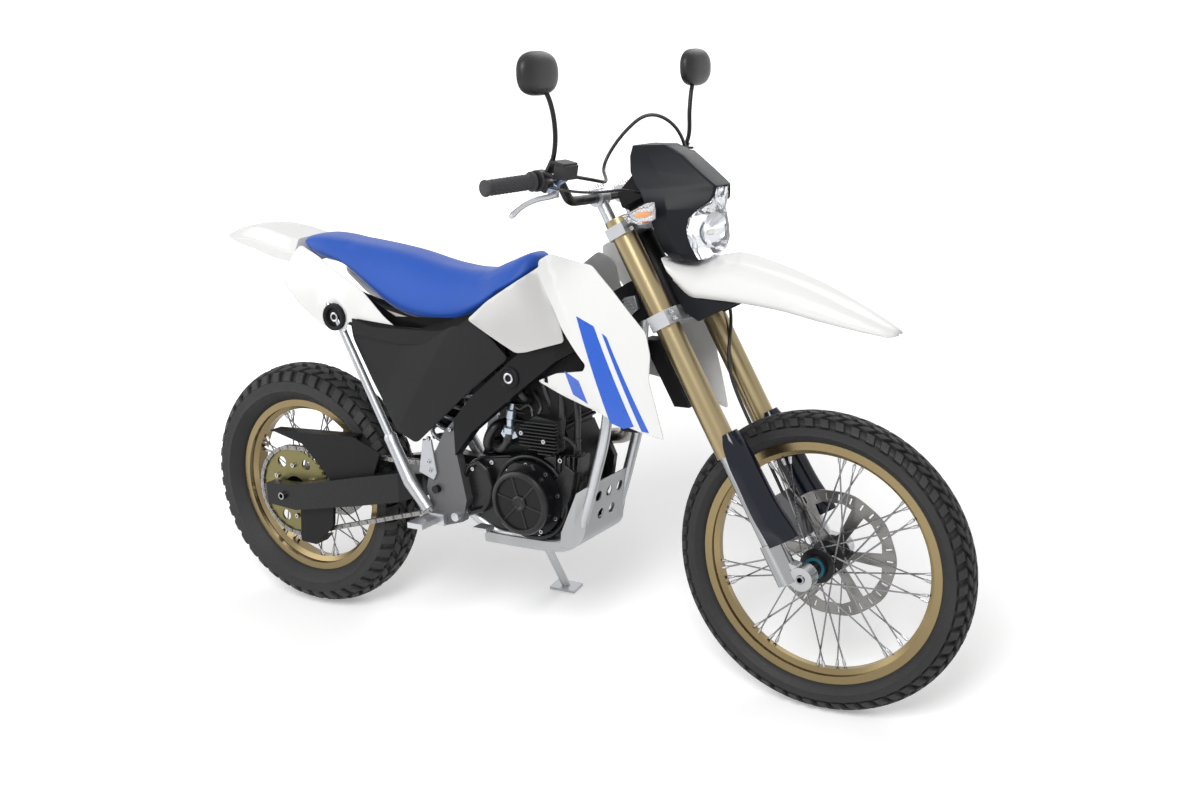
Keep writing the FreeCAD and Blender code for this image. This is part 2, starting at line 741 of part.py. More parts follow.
def triple_clamps():
    """Lower and upper fork clamps on the steering stem, with the handlebar risers."""
    parts = []
    for reach, thick in ((size("lower_clamp_reach"), size("clamp_thickness")),
                         (size("upper_clamp_reach"), 26)):
        low = reach - thick / 2
        outline = [steer(-26, -30, low), steer(-12, -104, low), steer(2, -142, low), steer(50, -142, low),
                   steer(60, -100, low), steer(40, -30, low), steer(40, 30, low), steer(60, 100, low),
                   steer(50, 142, low), steer(2, 142, low), steer(-12, 104, low), steer(-26, 30, low)]
        plate = Part.Face(polygon(outline)).extrude(STEER_UP * thick)
        for side in (-1, 1):
            foot = steer(size("fork_offset"), side * size("fork_spread"), low - 5)
            plate = plate.cut(Part.makeCylinder(size("slider_radius") + size("running_gap"), thick + 10,
                                                foot, STEER_UP))
        parts.append(plate)
    stem = rod(steer(0, 0, size("lower_clamp_reach")), steer(0, 0, size("upper_clamp_reach")),
               size("stem_radius"))
    risers = []
    for side in (-1, 1):
        start = steer(-size("bar_setback"), side * 55, size("upper_clamp_reach"))
        end = steer(-size("bar_setback"), side * 55, size("bar_clamp_reach") - 4)
        risers.append(rod(start, end, 14))
        risers.append(cross_rod(steer(-size("bar_setback"), 0, size("bar_clamp_reach")), 20,
                                side * 55 - 18, side * 55 + 18))
    whole = joined(parts + [stem] + risers)
    bar = steer(-size("bar_setback"), 0, size("bar_clamp_reach"))
    return whole.cut(cross_rod(bar, size("bar_radius") + size("running_gap"), -200, 200))


CLAMPS = triple_clamps()
piece("triple_clamps", CLAMPS)


def fork_sliders():
    """Outer tubes of the fork with their top caps."""
    legs = []
    for side in (-1, 1):
        y = side * size("fork_spread")
        leg = rod(steer(size("fork_offset"), y, size("slider_reach")),
                  steer(size("fork_offset"), y, size("fork_top_reach")), size("slider_radius"))
        hole = rod(steer(size("fork_offset"), y, size("slider_reach") - 1),
                   steer(size("fork_offset"), y, size("slider_reach") + 60),
                   size("stanchion_radius") + size("running_gap"))
        legs.append(leg.cut(hole))
    return Part.makeCompound(legs)


SLIDERS = fork_sliders()
piece("fork_sliders", SLIDERS)


def fork_legs():
    """Inner tubes with the cast feet that hold the front axle."""
    legs = []
    for side in (-1, 1):
        y = side * size("fork_spread")
        inner = rod(steer(size("fork_offset"), y, 20),
                    steer(size("fork_offset"), y, size("slider_reach") + 59), size("stanchion_radius"))
        sleeve = rod(steer(size("fork_offset"), y, 0), steer(size("fork_offset"), y, 95), 28)
        foot = cross_rod(FRONT_AXLE, 27, y - 18, y + 18)
        web = ruled([
            [steer(0, y - 15, 10), steer(0, y + 15, 10), steer(0, y + 15, 80), steer(0, y - 15, 80)],
            [steer(62, y - 15, -24), steer(62, y + 15, -24), steer(62, y + 15, 30), steer(62, y - 15, 30)],
        ])
        leg = joined([inner, sleeve, foot, web])
        legs.append(leg.cut(cross_rod(FRONT_AXLE, size("front_axle_radius") + size("running_gap"), -200, 200)))
    return Part.makeCompound(legs)


piece("front_axle", cross_rod(FRONT_AXLE, size("front_axle_radius"), -size("front_axle_half_length"),
                              size("front_axle_half_length")).cut(
    cross_rod(FRONT_AXLE, size("axle_bore"), -200, 200)))


LEGS = fork_legs()
piece("fork_legs", LEGS)


def fork_guards():
    """Moulded guards ahead of the inner tubes."""
    guards = []
    for side in (-1, 1):
        y = side * size("fork_spread")

        def ring(reach, front, back, half):
            return [steer(back, y - half, reach), steer(front, y - half * 0.6, reach),
                    steer(front, y + half * 0.6, reach), steer(back, y + half, reach)]

        outer = ruled([ring(352, 64, 40, 26), ring(300, 72, 30, 33), ring(160, 78, 26, 33), ring(100, 90, 34, 32)])
        hollow = rod(steer(size("fork_offset"), y, 60), steer(size("fork_offset"), y, 400),
                     size("slider_radius") + 2)
        guards.append(outer.cut(hollow))
    return Part.makeCompound(guards)


GUARDS = fork_guards()
piece("fork_guards", GUARDS)

GRIP_IN = steer(16.5, 0, 998)
GRIP_OUT = steer(-24.7, 0, 1014)


def bar_point(share, y):
    """Point on the straight line of a grip; share 0 is its inner end and 1 its outer end."""
    middle = GRIP_IN + (GRIP_OUT - GRIP_IN) * share
    return Vector(middle.x, y, middle.z)


def handlebar():
    """Bent bar from grip to grip."""
    centre = steer(-size("bar_setback"), 0, size("bar_clamp_reach"))
    spread = size("grip_outer") - size("grip_inner")
    right = [bar_point(1, -size("grip_outer")), bar_point(-0.5, -size("grip_inner") + 0.5 * spread),
             Vector(centre.x + 6, -190, centre.z + 4), Vector(centre.x, -110, centre.z)]
    left = [Vector(p.x, -p.y, p.z) for p in reversed(right)]
    return tube(right + left, size("bar_radius"), 0.3)


BAR = handlebar()
piece("handlebar", BAR)


def grips():
    """Rubber grips over the bar's ends."""
    made = []
    for side in (-1, 1):
        start = bar_point(0.04, side * (size("grip_inner") + 0.04 * (size("grip_outer") - size("grip_inner"))))
        end = bar_point(1.04, side * (size("grip_outer") + 0.04 * (size("grip_outer") - size("grip_inner"))))
        stop = bar_point(0.99, side * (size("grip_outer") - 0.01 * (size("grip_outer") - size("grip_inner"))))
        sleeve = rod(start, end, size("grip_radius"))
        past = start + (start - end).normalize() * 5
        deep = end + (start - end).normalize() * 4
        made.append(sleeve.cut(rod(past, deep, size("bar_radius") + size("running_gap"))))
    return Part.makeCompound(made)


piece("grips", grips())


def headlight_cowl():
    """Faceted cowl ahead of the fork."""
    levels = [(706, 85, 40, 105, 45, 130, 28), (762, 86, 95, 120, 95, 190, 45),
              (861, 86, 108, 141, 92, 200, 45), (920, 94, 112, 120, 95, 190, 30),
              (998, 130, 20, 140, 18, 150, 10)]
    rings = []
    for reach, back, wide, middle, mid_wide, front, front_wide in levels:
        rings.append([steer(back, -wide, reach), steer(middle, -mid_wide, reach),
                      steer(front, -front_wide, reach), steer(front, front_wide, reach),
                      steer(middle, mid_wide, reach), steer(back, wide, reach)])
    return ruled(rings)


piece("headlight_lens", ruled([
    [steer(136, -24, 709), steer(136, 24, 709), steer(148, 20, 709), steer(148, -20, 709)],
    [steer(191, -42, 762), steer(191, 42, 762), steer(204, 34, 762), steer(204, -34, 762)],
    [steer(200.5, -43, 840), steer(200.5, 43, 840), steer(216, 34, 840), steer(216, -34, 840)]]))


def front_fender():
    """High pointed mudguard ahead of the lower clamp."""
    stations = [(64, 72, 60, 43), (110, 74, 56, 74), (153, 76, 52, 106), (271, 74, 44, 90),
                (396, 60, 13, 62), (474, 42, -2, 39), (520, 20, -10, 12)]
    outer = []
    inner = []
    wall = size("cover_wall")
    for ahead, wide, low, rise in stations:
        x = HEAD.x + ahead
        base = HEAD.z + low
        top = base + rise
        outer.append([Vector(x, -wide, base), Vector(x, wide, base), Vector(x, wide * 0.8, base + rise * 0.6),
                      Vector(x, 0, top), Vector(x, -wide * 0.8, base + rise * 0.6)])
        inner.append([Vector(x, -wide + wall, base - 5), Vector(x, wide - wall, base - 5),
                      Vector(x, wide * 0.8 - wall, base + rise * 0.6 - wall),
                      Vector(x, 0, top - wall), Vector(x, -wide * 0.8 + wall, base + rise * 0.6 - wall)])
    return ruled(outer).cut(ruled(inner))


FENDER = front_fender()
piece("front_fender", FENDER)


def fender_bracket():
    """Stay from the lower clamp to the mudguard."""
    reach = size("lower_clamp_reach")
    stay = ruled([
        [steer(30, -26, reach - 12), steer(30, 26, reach - 12), steer(30, 26, reach + 12),
         steer(30, -26, reach + 12)],
        [steer(92, -48, reach - 2), steer(92, 48, reach - 2), steer(92, 48, reach + 8),
         steer(92, -48, reach + 8)],
        [steer(104, -60, reach - 4), steer(104, 60, reach - 4), steer(112, 60, reach + 6),
         steer(112, -60, reach + 6)]])
    return stay


piece("fender_bracket", fender_bracket().cut(CLAMPS).cut(FENDER))


def cowl_brackets():
    """Arms that hold the cowl on the fork tubes."""
    arms = []
    for side in (-1, 1):
        arm = ruled([
            [steer(36, side * 88, 790), steer(36, side * 104, 790), steer(36, side * 104, 830),
             steer(36, side * 88, 830)],
            [steer(86, side * 78, 790), steer(86, side * 92, 790), steer(86, side * 92, 830),
             steer(86, side * 78, 830)]])
        arms.append(arm.cut(SLIDERS))
    return Part.makeCompound(arms)




def cluster():
    """Small instrument box above the upper clamp."""
    top = size("upper_clamp_reach") + 13
    return ruled([
        [steer(12, -30, top), steer(12, 30, top), steer(50, 30, top), steer(50, -30, top)],
        [steer(20, -34, top + 30), steer(20, 34, top + 30), steer(78, 34, top + 30), steer(78, -34, top + 30)],
        [steer(20, -58, top + 40), steer(20, 58, top + 40), steer(82, 58, top + 36), steer(82, -58, top + 36)],
        [steer(24, -58, top + 72), steer(24, 58, top + 72), steer(84, 56, top + 92), steer(84, -56, top + 92)]])


piece("instrument_cluster", cluster())


def indicator(middle, left_from, left_to):
    """Turn signal lens on a short stem."""
    stem_from = left_from
    side = 1 if left_to > left_from else -1
    low, high = sorted((stem_from, stem_from + side * 22))
    stem = cross_rod(middle, 8, low, high)
    low, high = sorted((stem_from + side * 20, left_to))
    lens = cross_rod(middle, 20, low, high)
    return stem.fuse(lens)


COWL = headlight_cowl()
piece("headlight_cowl", joined([COWL] + cowl_brackets().Solids))
piece("front_indicators", Part.makeCompound([
    indicator(steer(100, 0, 858), side * 90, side * 182).cut(COWL) for side in (-1, 1)]))


def controls():
    """Lever perches, levers and the brake reservoir."""
    made = []
    for side in (-1, 1):
        perch_low, perch_high = sorted((side * 296, side * 326))
        at_bar = bar_point(-0.2, 0)
        perch = cross_rod(at_bar, 17, perch_low, perch_high)
        lever = tube([Vector(at_bar.x + 6, side * 300, at_bar.z + 2), Vector(at_bar.x + 44, side * 306, at_bar.z),
                      Vector(at_bar.x + 52, side * 350, at_bar.z - 4),
                      Vector(at_bar.x - 2, side * 448, at_bar.z - 8)], 6, 0.3)
        whole = perch.fuse(lever)
        if side == -1:
            cup = Part.makeCylinder(18, 34, Vector(at_bar.x + 24, -317, at_bar.z + 6), Vector(0.3, 0, 1))
            whole = whole.fuse(cup)
        made.append(whole.cut(BAR))
    return Part.makeCompound(made)


piece("controls", controls())


def mirrors():
    """Round stems with flat heads; the heads are above the photograph's edge."""
    made = []
    for side in (-1, 1):
        foot = bar_point(-0.2, side * 277)
        clamp_low, clamp_high = sorted((side * 266, side * 286))
        clamp = cross_rod(foot, 16, clamp_low, clamp_high)
        stem = tube([foot + Vector(8, 0, 8), Vector(1026, side * 288, 1250), Vector(1030, side * 296, 1330),
                     Vector(1030, side * 330, 1392)], 5.5, 0.4)
        head = ruled([
            [Vector(1018, side * 288, 1380), Vector(1018, side * 400, 1386), Vector(1018, side * 420, 1430),
             Vector(1018, side * 400, 1472), Vector(1018, side * 296, 1468), Vector(1018, side * 276, 1424)],
            [Vector(1040, side * 304, 1396), Vector(1040, side * 384, 1400), Vector(1040, side * 400, 1430),
             Vector(1040, side * 384, 1458), Vector(1040, side * 312, 1454), Vector(1040, side * 296, 1424)]])
        made.append(joined([clamp, stem, head]).cut(BAR))
    return Part.makeCompound(made)


piece("mirrors", mirrors())


def front_caliper():
    """Brake body that straddles the front disc behind the left fork leg."""
    outline = [FRONT_AXLE + Vector(x, 0, z) for x, z in
               ((-96, 20), (-58, 34), (-72, 92), (-118, 132), (-160, 104), (-142, 48))]
    block_shape = side_plate(outline, 40, 92)
    slot = cross_rod(FRONT_AXLE, size("front_disc_radius") + 3, size("front_disc_place") - 5,
                     size("front_disc_place") + 5)
    return block_shape.cut(slot).cut(LEGS).cut(GUARDS)


piece("front_caliper", front_caliper())


def rear_caliper():
    """Brake body above the swingarm, on its bracket."""
    outline = [REAR_AXLE + Vector(x, 0, z) for x, z in
               ((52, 2), (96, 2), (128, 62), (112, 130), (52, 140), (26, 72))]
    block_shape = side_plate(outline, 62, size("arm_inner_face"))
    slot = cross_rod(REAR_AXLE, size("rear_disc_radius") + 3, size("rear_disc_place") - 5,
                     size("rear_disc_place") + 5)
    return block_shape.cut(slot)


piece("rear_caliper", rear_caliper())


def chain_guard():
    """Guard over the upper run of the chain, standing on the right arm."""
    outline = [Vector(-50, 0, 512), Vector(240, 0, 524), Vector(330, 0, 490), Vector(300, 0, 420),
               Vector(168, 0, 380), Vector(110, 0, 440), Vector(60, 0, 486)]
    plate = side_plate(outline, -112, -108)
    lip = side_plate([Vector(-50, 0, 508), Vector(240, 0, 520), Vector(240, 0, 524), Vector(-50, 0, 512)],
                     -112, -72)
    return plate.fuse(lip).cut(ARMS)




def chain_guide():
    """Guide round the lower run of the chain, hung under the right arm."""
    outline = [Vector(40, 0, 330), Vector(160, 0, 350), Vector(150, 0, 270), Vector(84, 0, 206),
               Vector(30, 0, 210)]
    plate = side_plate(outline, -114, -104)
    floor = side_plate([Vector(34, 0, 208), Vector(84, 0, 206), Vector(110, 0, 230), Vector(36, 0, 216)],
                       -114, -70)
    return plate.fuse(floor).cut(ARMS)


piece("chain_guards", Part.makeCompound([chain_guard(), chain_guide()]))


def footpeg():
    """Right-hand serrated peg on its hinge block."""
    plate_face = -size("spar_inner_face") - 26
    hinge = Part.makeBox(44, 12, 30, Vector(PIVOT.x - 22, plate_face - 12, PIVOT.z - 92))
    peg = Part.makeBox(46, 78, 14, Vector(PIVOT.x - 32, plate_face - 88, PIVOT.z - 80))
    return hinge.fuse(peg)


piece("footpegs", Part.makeCompound(both_sides(footpeg())))


def brake_pedal():
    """Rear brake pedal along the right side."""
    plate_face = -size("spar_inner_face") - 26
    outline = [from_pivot(50, 0, -60), from_pivot(68, 0, -56), from_pivot(110, 0, -84),
               from_pivot(172, 0, -78), from_pivot(172, 0, -68), from_pivot(110, 0, -70)]
    arm = side_plate(outline, plate_face - 16, plate_face - 8)
    boss = cross_rod(from_pivot(60, 0, -62), 11, plate_face - 16, plate_face)
    pad = Part.makeBox(40, 34, 10, Vector(PIVOT.x + 134, plate_face - 42, PIVOT.z - 78))
    return joined([arm, boss, pad])




def gear_lever():
    """Gear lever on its shaft, left of the crankcase."""
    shaft = cross_rod(from_pivot(116, 0, -50), 8, 66, 134)
    arm = side_plate([from_pivot(106, 0, -58), from_pivot(126, 0, -40), from_pivot(226, 0, -62),
                      from_pivot(222, 0, -74)], 124, 132)
    pad = cross_rod(from_pivot(220, 0, -68), 8, 124, 158)
    return joined([shaft, arm, pad])


piece("foot_controls", Part.makeCompound([brake_pedal(), gear_lever()]))


def radiator():
    """Core behind the right shroud, slanted like the fork."""
    return ruled([
        [from_head(-72, -150, -242), from_head(-72, -98, -242), from_head(-32, -98, -242),
         from_head(-32, -150, -242)],
        [from_head(-156, -150, -84), from_head(-156, -98, -84), from_head(-116, -98, -84),
         from_head(-116, -150, -84)]])


piece("radiators", Part.makeCompound(both_sides(radiator())))
piece("bash_plate", bash_plate())


SILENCER_START = from_pivot(-138, 196, 218)
SILENCER_END = from_pivot(-494, 196, 372)


def exhaust_header():
    """Pipe from the head's front port, down and back along the left side."""
    points = [from_pivot(320, 0, 318), from_pivot(404, 6, 314), from_pivot(430, 44, 210),
              from_pivot(410, 124, 120), from_pivot(300, 146, 96), from_pivot(120, 152, 84),
              from_pivot(20, 176, 90), from_pivot(-70, 190, 150), SILENCER_START]
    return tube(points, 20, 0.36).cut(CYLINDER)




def silencer():
    """Round silencer with tapered ends on the left side."""
    axis = (SILENCER_END - SILENCER_START).normalize()
    span = (SILENCER_END - SILENCER_START).Length
    nose = Part.makeCone(21, 46, 60, SILENCER_START, axis)
    can = rod(SILENCER_START + axis * 60, SILENCER_END - axis * 40, 46)
    tip = Part.makeCone(46, 24, 40, SILENCER_END - axis * 40, axis)
    mouth = rod(SILENCER_END - axis * 60, SILENCER_END + axis * 5, 18)
    return joined([nose, can, tip]).cut(mouth)


piece("exhaust", joined([exhaust_header(), silencer()]))


# Bodywork.

def seat():
    """Long narrow seat, a closed cushion of true outline."""
    stations = [(74, 1036, 1024, 60, 72), (236, 1022, 962, 66, 108), (400, 1000, 856, 68, 122),
                (534, 972, 834, 66, 124), (603, 964, 844, 62, 122), (723, 990, 924, 56, 122),
                (818, 1014, 980, 50, 116), (872, 1020, 1012, 44, 100)]
    rings = []
    for x, top, low, top_half, low_half in stations:
        rings.append([Vector(x, -low_half, low), Vector(x, low_half, low),
                      Vector(x, top_half, top - 3), Vector(x, top_half * 0.4, top),
                      Vector(x, -top_half * 0.4, top), Vector(x, -top_half, top - 3)])
    return ruled(rings)


piece("seat", seat())


def tank():
    """Fuel tank and air box between the spars, under the seat's nose."""
    return ruled([
        [Vector(560, -80, 806), Vector(560, 80, 806), Vector(560, 84, 826), Vector(560, -84, 826)],
        [Vector(650, -82, 806), Vector(650, 82, 806), Vector(650, 92, 856), Vector(650, -92, 856)],
        [Vector(723, -86, 812), Vector(723, 86, 812), Vector(723, 100, 908), Vector(723, -100, 908)],
        [Vector(818, -90, 846), Vector(818, 90, 846), Vector(818, 102, 966), Vector(818, -102, 966)],
        [Vector(880, -96, 884), Vector(880, 96, 884), Vector(880, 92, 1002), Vector(880, -92, 1002)],
        [Vector(940, -86, 918), Vector(940, 86, 918), Vector(940, 60, 994), Vector(940, -60, 994)],
        [Vector(996, -50, 940), Vector(996, 50, 940), Vector(996, 30, 956), Vector(996, -30, 956)],
    ])


piece("tank", tank())


def tail_unit():
    """Tail section behind the seat."""
    return ruled([
        [Vector(-226, -40, 1020), Vector(-226, 40, 1020), Vector(-226, 36, 1032), Vector(-226, -36, 1032)],
        [Vector(-105, -66, 998), Vector(-105, 66, 998), Vector(-105, 56, 1058), Vector(-105, -56, 1058)],
        [Vector(-33, -76, 978), Vector(-33, 76, 978), Vector(-33, 66, 1051), Vector(-33, -66, 1051)],
        [Vector(60, -84, 966), Vector(60, 84, 966), Vector(60, 74, 1036), Vector(60, -74, 1036)],
    ])


piece("tail_unit", tail_unit())


def outline_points(pairs):
    """Side-view outline from pairs of forward and up."""
    return [Vector(x, 0, z) for x, z in pairs]


TAIL_SIDE = [(59, 916), (116, 865), (176, 826), (285, 838), (354, 828), (436, 826), (392, 846), (350, 882),
             (312, 912), (230, 950), (170, 984), (108, 1016), (66, 960)]
SIDE_PANEL = [(285, 786), (425, 572), (486, 545), (592, 634), (646, 682), (775, 782), (655, 862),
              (603, 836), (523, 824), (436, 822)]
FLANK = [(664, 866), (800, 800), (937, 838), (865, 1000), (818, 970), (723, 914)]
SHROUD = [(868, 1015), (907, 1033), (1018, 1012), (1072, 961), (1155, 871), (1162, 767), (1193, 632),
          (1030, 686), (924, 709), (845, 731), (972, 776), (962, 815), (921, 904), (868, 984)]

for cover, outline, stations, levels, depths in (
        ("tail_side_covers", TAIL_SIDE, (40, 240, 450), (810, 920, 1030),
         ((-122, -130, -132), (-116, -126, -130), (-96, -116, -124))),
        ("side_panels", SIDE_PANEL, (260, 500, 800), (530, 700, 880),
         ((-146, -150, -146), (-140, -150, -148), (-132, -136, -132))),
        ("flank_covers", FLANK, (640, 790, 950), (780, 880, 1020),
         ((-150, -151, -152), (-142, -150, -152), (-122, -126, -130))),
        ("shrouds", SHROUD, (830, 1000, 1210), (620, 830, 1050),
         ((-156, -166, -160), (-156, -172, -166), (-128, -150, -150)))):
    right = moulded(outline_points(outline), stations, levels, depths, size("cover_wall"))
    piece(cover, Part.makeCompound(both_sides(right)))


# Side stand: the foot's place follows the lean, so that it stands on the ground.

def on_ground(forward, left, above):
    """Point of the upright machine that lies above the ground plane once it leans."""
    lean = math.radians(size("lean_angle"))
    up = (above - size("ground_lift") + left * math.sin(lean)) / math.cos(lean)
    return Vector(forward, left, up)


def side_stand():
    """Leg with a flat foot, square to the ground when the machine leans on it."""
    ankle = on_ground(size("stand_foot_forward"), size("stand_foot_left"), 8)
    leg = rod(STAND_PIVOT, ankle, size("stand_tube_radius"))
    eye = rod(STAND_PIVOT - STAND_AXIS * 9, STAND_PIVOT + STAND_AXIS * 9, 18)
    foot = Part.makeBox(80, 46, 8, Vector(-40, -23, -8))
    foot.Placement = Placement(ankle, Rotation(Vector(1, 0, 0), size("lean_angle")))
    whole = joined([leg, eye, foot])
    return whole.cut(stand_pin(size("running_gap")))


piece("side_stand", side_stand())
piece("stand_pin", stand_pin(0))

doc.recompute()


def finished():
    """Stop where an object failed or a shape is empty or not valid, then write every piece."""
    for item in doc.Objects:
        if "Invalid" in item.State or "Error" in item.State:
            raise RuntimeError(item.Label + " failed: " + str(item.State))
    os.makedirs("parts", exist_ok=True)
    for item in SUB_PARTS:
        if item.Shape.isNull() or not item.Shape.isValid() or item.Shape.Volume <= 0:
            raise RuntimeError(item.Label + " has no valid shape")
    for item in SUB_PARTS:
        item.Shape.exportStep("parts/" + item.Label + ".step")


finished()
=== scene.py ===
import math

import bmesh
import bpy
import numpy as np
from mathutils import Matrix, Vector


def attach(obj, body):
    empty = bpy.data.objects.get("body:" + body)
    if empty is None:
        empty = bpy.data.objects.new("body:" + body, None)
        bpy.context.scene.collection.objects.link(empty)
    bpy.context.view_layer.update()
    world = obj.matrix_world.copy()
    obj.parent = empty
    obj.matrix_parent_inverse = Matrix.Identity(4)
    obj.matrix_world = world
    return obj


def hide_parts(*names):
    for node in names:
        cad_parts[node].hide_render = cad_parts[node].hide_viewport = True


# Dual sport motorcycle on its side stand. Shapes are written in millimetres of the upright
# machine, +X forward, +Y to the rider's left, the rear axle above x = 0, and then leaned.

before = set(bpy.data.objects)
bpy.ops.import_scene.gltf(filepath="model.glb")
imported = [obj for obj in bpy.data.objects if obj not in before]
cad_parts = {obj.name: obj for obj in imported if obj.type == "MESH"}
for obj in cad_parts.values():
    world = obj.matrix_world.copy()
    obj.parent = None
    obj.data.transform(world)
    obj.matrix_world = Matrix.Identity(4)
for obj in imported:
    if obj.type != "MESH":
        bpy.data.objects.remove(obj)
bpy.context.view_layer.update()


# --- Camera ---
# Three-quarter view from the machine's front right, a little from above, at the photograph's angle.
# Its place and its angles belong to the upright machine, so they lean with it.

LEAN = math.radians(10)
STANCE = (-0.753, -0.2096, 0.001)


def stand(points):
    """Upright millimetres as metres of the frame: turned by the lean about x, then moved."""
    x, y, z = np.asarray(points, float).reshape(-1, 3).T / 1000
    return np.column_stack((x, y * math.cos(LEAN) + z * math.sin(LEAN),
                            z * math.cos(LEAN) - y * math.sin(LEAN))) + STANCE


def add_camera(place, heading, pitch, roll, focal):
    """Camera at a place of the upright machine. It looks along its heading and pitch, and its right
    and upper directions are turned by the roll. The focal length is in widths of the picture."""
    heading, pitch, roll = np.radians((heading, pitch, roll))
    ahead = np.array((math.cos(pitch) * math.cos(heading), math.cos(pitch) * math.sin(heading),
                      math.sin(pitch)))
    right = np.cross(ahead, (0, 0, 1))
    right /= np.linalg.norm(right)
    up = np.cross(right, ahead)
    right, up = (math.cos(roll) * right + math.sin(roll) * up,
                 math.cos(roll) * up - math.sin(roll) * right)
    metre = 1000
    origin, a, r, u = stand([place, place + ahead * metre, place + right * metre,
                             place + up * metre])
    turn = Matrix((tuple(r - origin), tuple(u - origin), tuple(origin - a))).transposed()
    data = bpy.data.cameras.new("camera")
    data.sensor_width = 36
    data.lens = 36 * focal
    data.clip_end = 100
    camera = bpy.data.objects.new("camera", data)
    camera.matrix_world = Matrix.Translation(origin) @ turn.to_4x4()
    bpy.context.scene.collection.objects.link(camera)
    bpy.context.scene.camera = camera


add_camera(place=np.array((2609.34, -2716.05, 1434.88)), heading=121.69092, pitch=-13.57491,
           roll=-2.03809, focal=1376.147 / 1200)
bpy.context.scene.view_settings.view_transform = "Standard"


# --- Studio ---
# White surroundings, a pale floor that keeps the machine's shadow near it and turns white further
# out, and three large soft lamps: from the front right, from the rear right and from the left.

def node(tree, kind, **inputs):
    """New shader node with some of its inputs set, each named with _ for a space."""
    made = tree.nodes.new("ShaderNode" + kind)
    for name, value in inputs.items():
        made.inputs[name.replace("_", " ")].default_value = value
    return made


def seen_directly(tree):
    """Largest of three flags: one for camera, mirror and glass rays, zero for light on things."""
    path = node(tree, "LightPath")
    total = path.outputs["Is Camera Ray"]
    for name in ("Is Glossy Ray", "Is Transmission Ray"):
        larger = node(tree, "Math")
        larger.operation = "MAXIMUM"
        tree.links.new(total, larger.inputs[0])
        tree.links.new(path.outputs[name], larger.inputs[1])
        total = larger.outputs[0]
    return total


def add_world(strength):
    """White world that lights things at the given strength and is seen at full white."""
    world = bpy.data.worlds.new("studio")
    world.use_nodes = True
    tree = world.node_tree
    tree.nodes.clear()
    lit = node(tree, "Background", Color=(1, 1, 1, 1), Strength=strength)
    white = node(tree, "Background", Color=(1, 1, 1, 1))
    mix = node(tree, "MixShader")
    out = node(tree, "OutputWorld")
    tree.links.new(seen_directly(tree), mix.inputs[0])
    tree.links.new(lit.outputs[0], mix.inputs[1])
    tree.links.new(white.outputs[0], mix.inputs[2])
    tree.links.new(mix.outputs[0], out.inputs[0])
    bpy.context.scene.world = world


def add_floor(half, near, far):
    """Square floor: a matt grey, plus a glow that rises to white between two distances."""
    mesh = bpy.data.meshes.new("floor")
    mesh.from_pydata([(-half, -half, 0), (half, -half, 0), (half, half, 0), (-half, half, 0)], [],
                     [(0, 1, 2, 3)])
    floor = bpy.data.objects.new("floor", mesh)
    bpy.context.scene.collection.objects.link(floor)
    pale = bpy.data.materials.new("floor")
    pale.use_nodes = True
    tree = pale.node_tree
    tree.nodes.clear()
    matt = node(tree, "BsdfDiffuse", Color=(0.85, 0.85, 0.85, 1))
    glow = node(tree, "Emission")
    both = node(tree, "AddShader")
    out = node(tree, "OutputMaterial")
    distance = node(tree, "VectorMath")
    distance.operation = "LENGTH"
    rise = node(tree, "MapRange", From_Min=near, From_Max=far, To_Min=0.30, To_Max=1.0)
    rise.interpolation_type = "SMOOTHSTEP"
    tree.links.new(seen_directly(tree), glow.inputs["Strength"])
    tree.links.new(node(tree, "TexCoord").outputs["Object"], distance.inputs[0])
    tree.links.new(distance.outputs["Value"], rise.inputs["Value"])
    tree.links.new(rise.outputs["Result"], glow.inputs["Color"])
    tree.links.new(matt.outputs[0], both.inputs[0])
    tree.links.new(glow.outputs[0], both.inputs[1])
    tree.links.new(both.outputs[0], out.inputs[0])
    mesh.materials.append(pale)


add_world(0.30)
add_floor(40, 0.9, 3.2)
for name, place, size, power in (("key", (1.6, -3.2, 4.4), 2.0, 180),
                                 ("fill", (-3.6, -2.4, 2.6), 3.0, 60),
                                 ("back", (0.4, 3.6, 3.4), 3.0, 70)):
    lamp = bpy.data.objects.new(name, bpy.data.lights.new(name, "AREA"))
    lamp.data.size = size
    lamp.data.energy = power
    lamp.location = place
    toward = Vector((0, 0, 0.6)) - Vector(place)
    lamp.rotation_euler = toward.to_track_quat("-Z", "Y").to_euler()
    bpy.context.scene.collection.objects.link(lamp)


# --- Frame and swingarm ---
# Welded steel tubes under satin black paint, and an alloy swingarm on a shaft through grey cast
# pivot plates. The engine's cradle, the pedals, footpegs and side stand are silver.

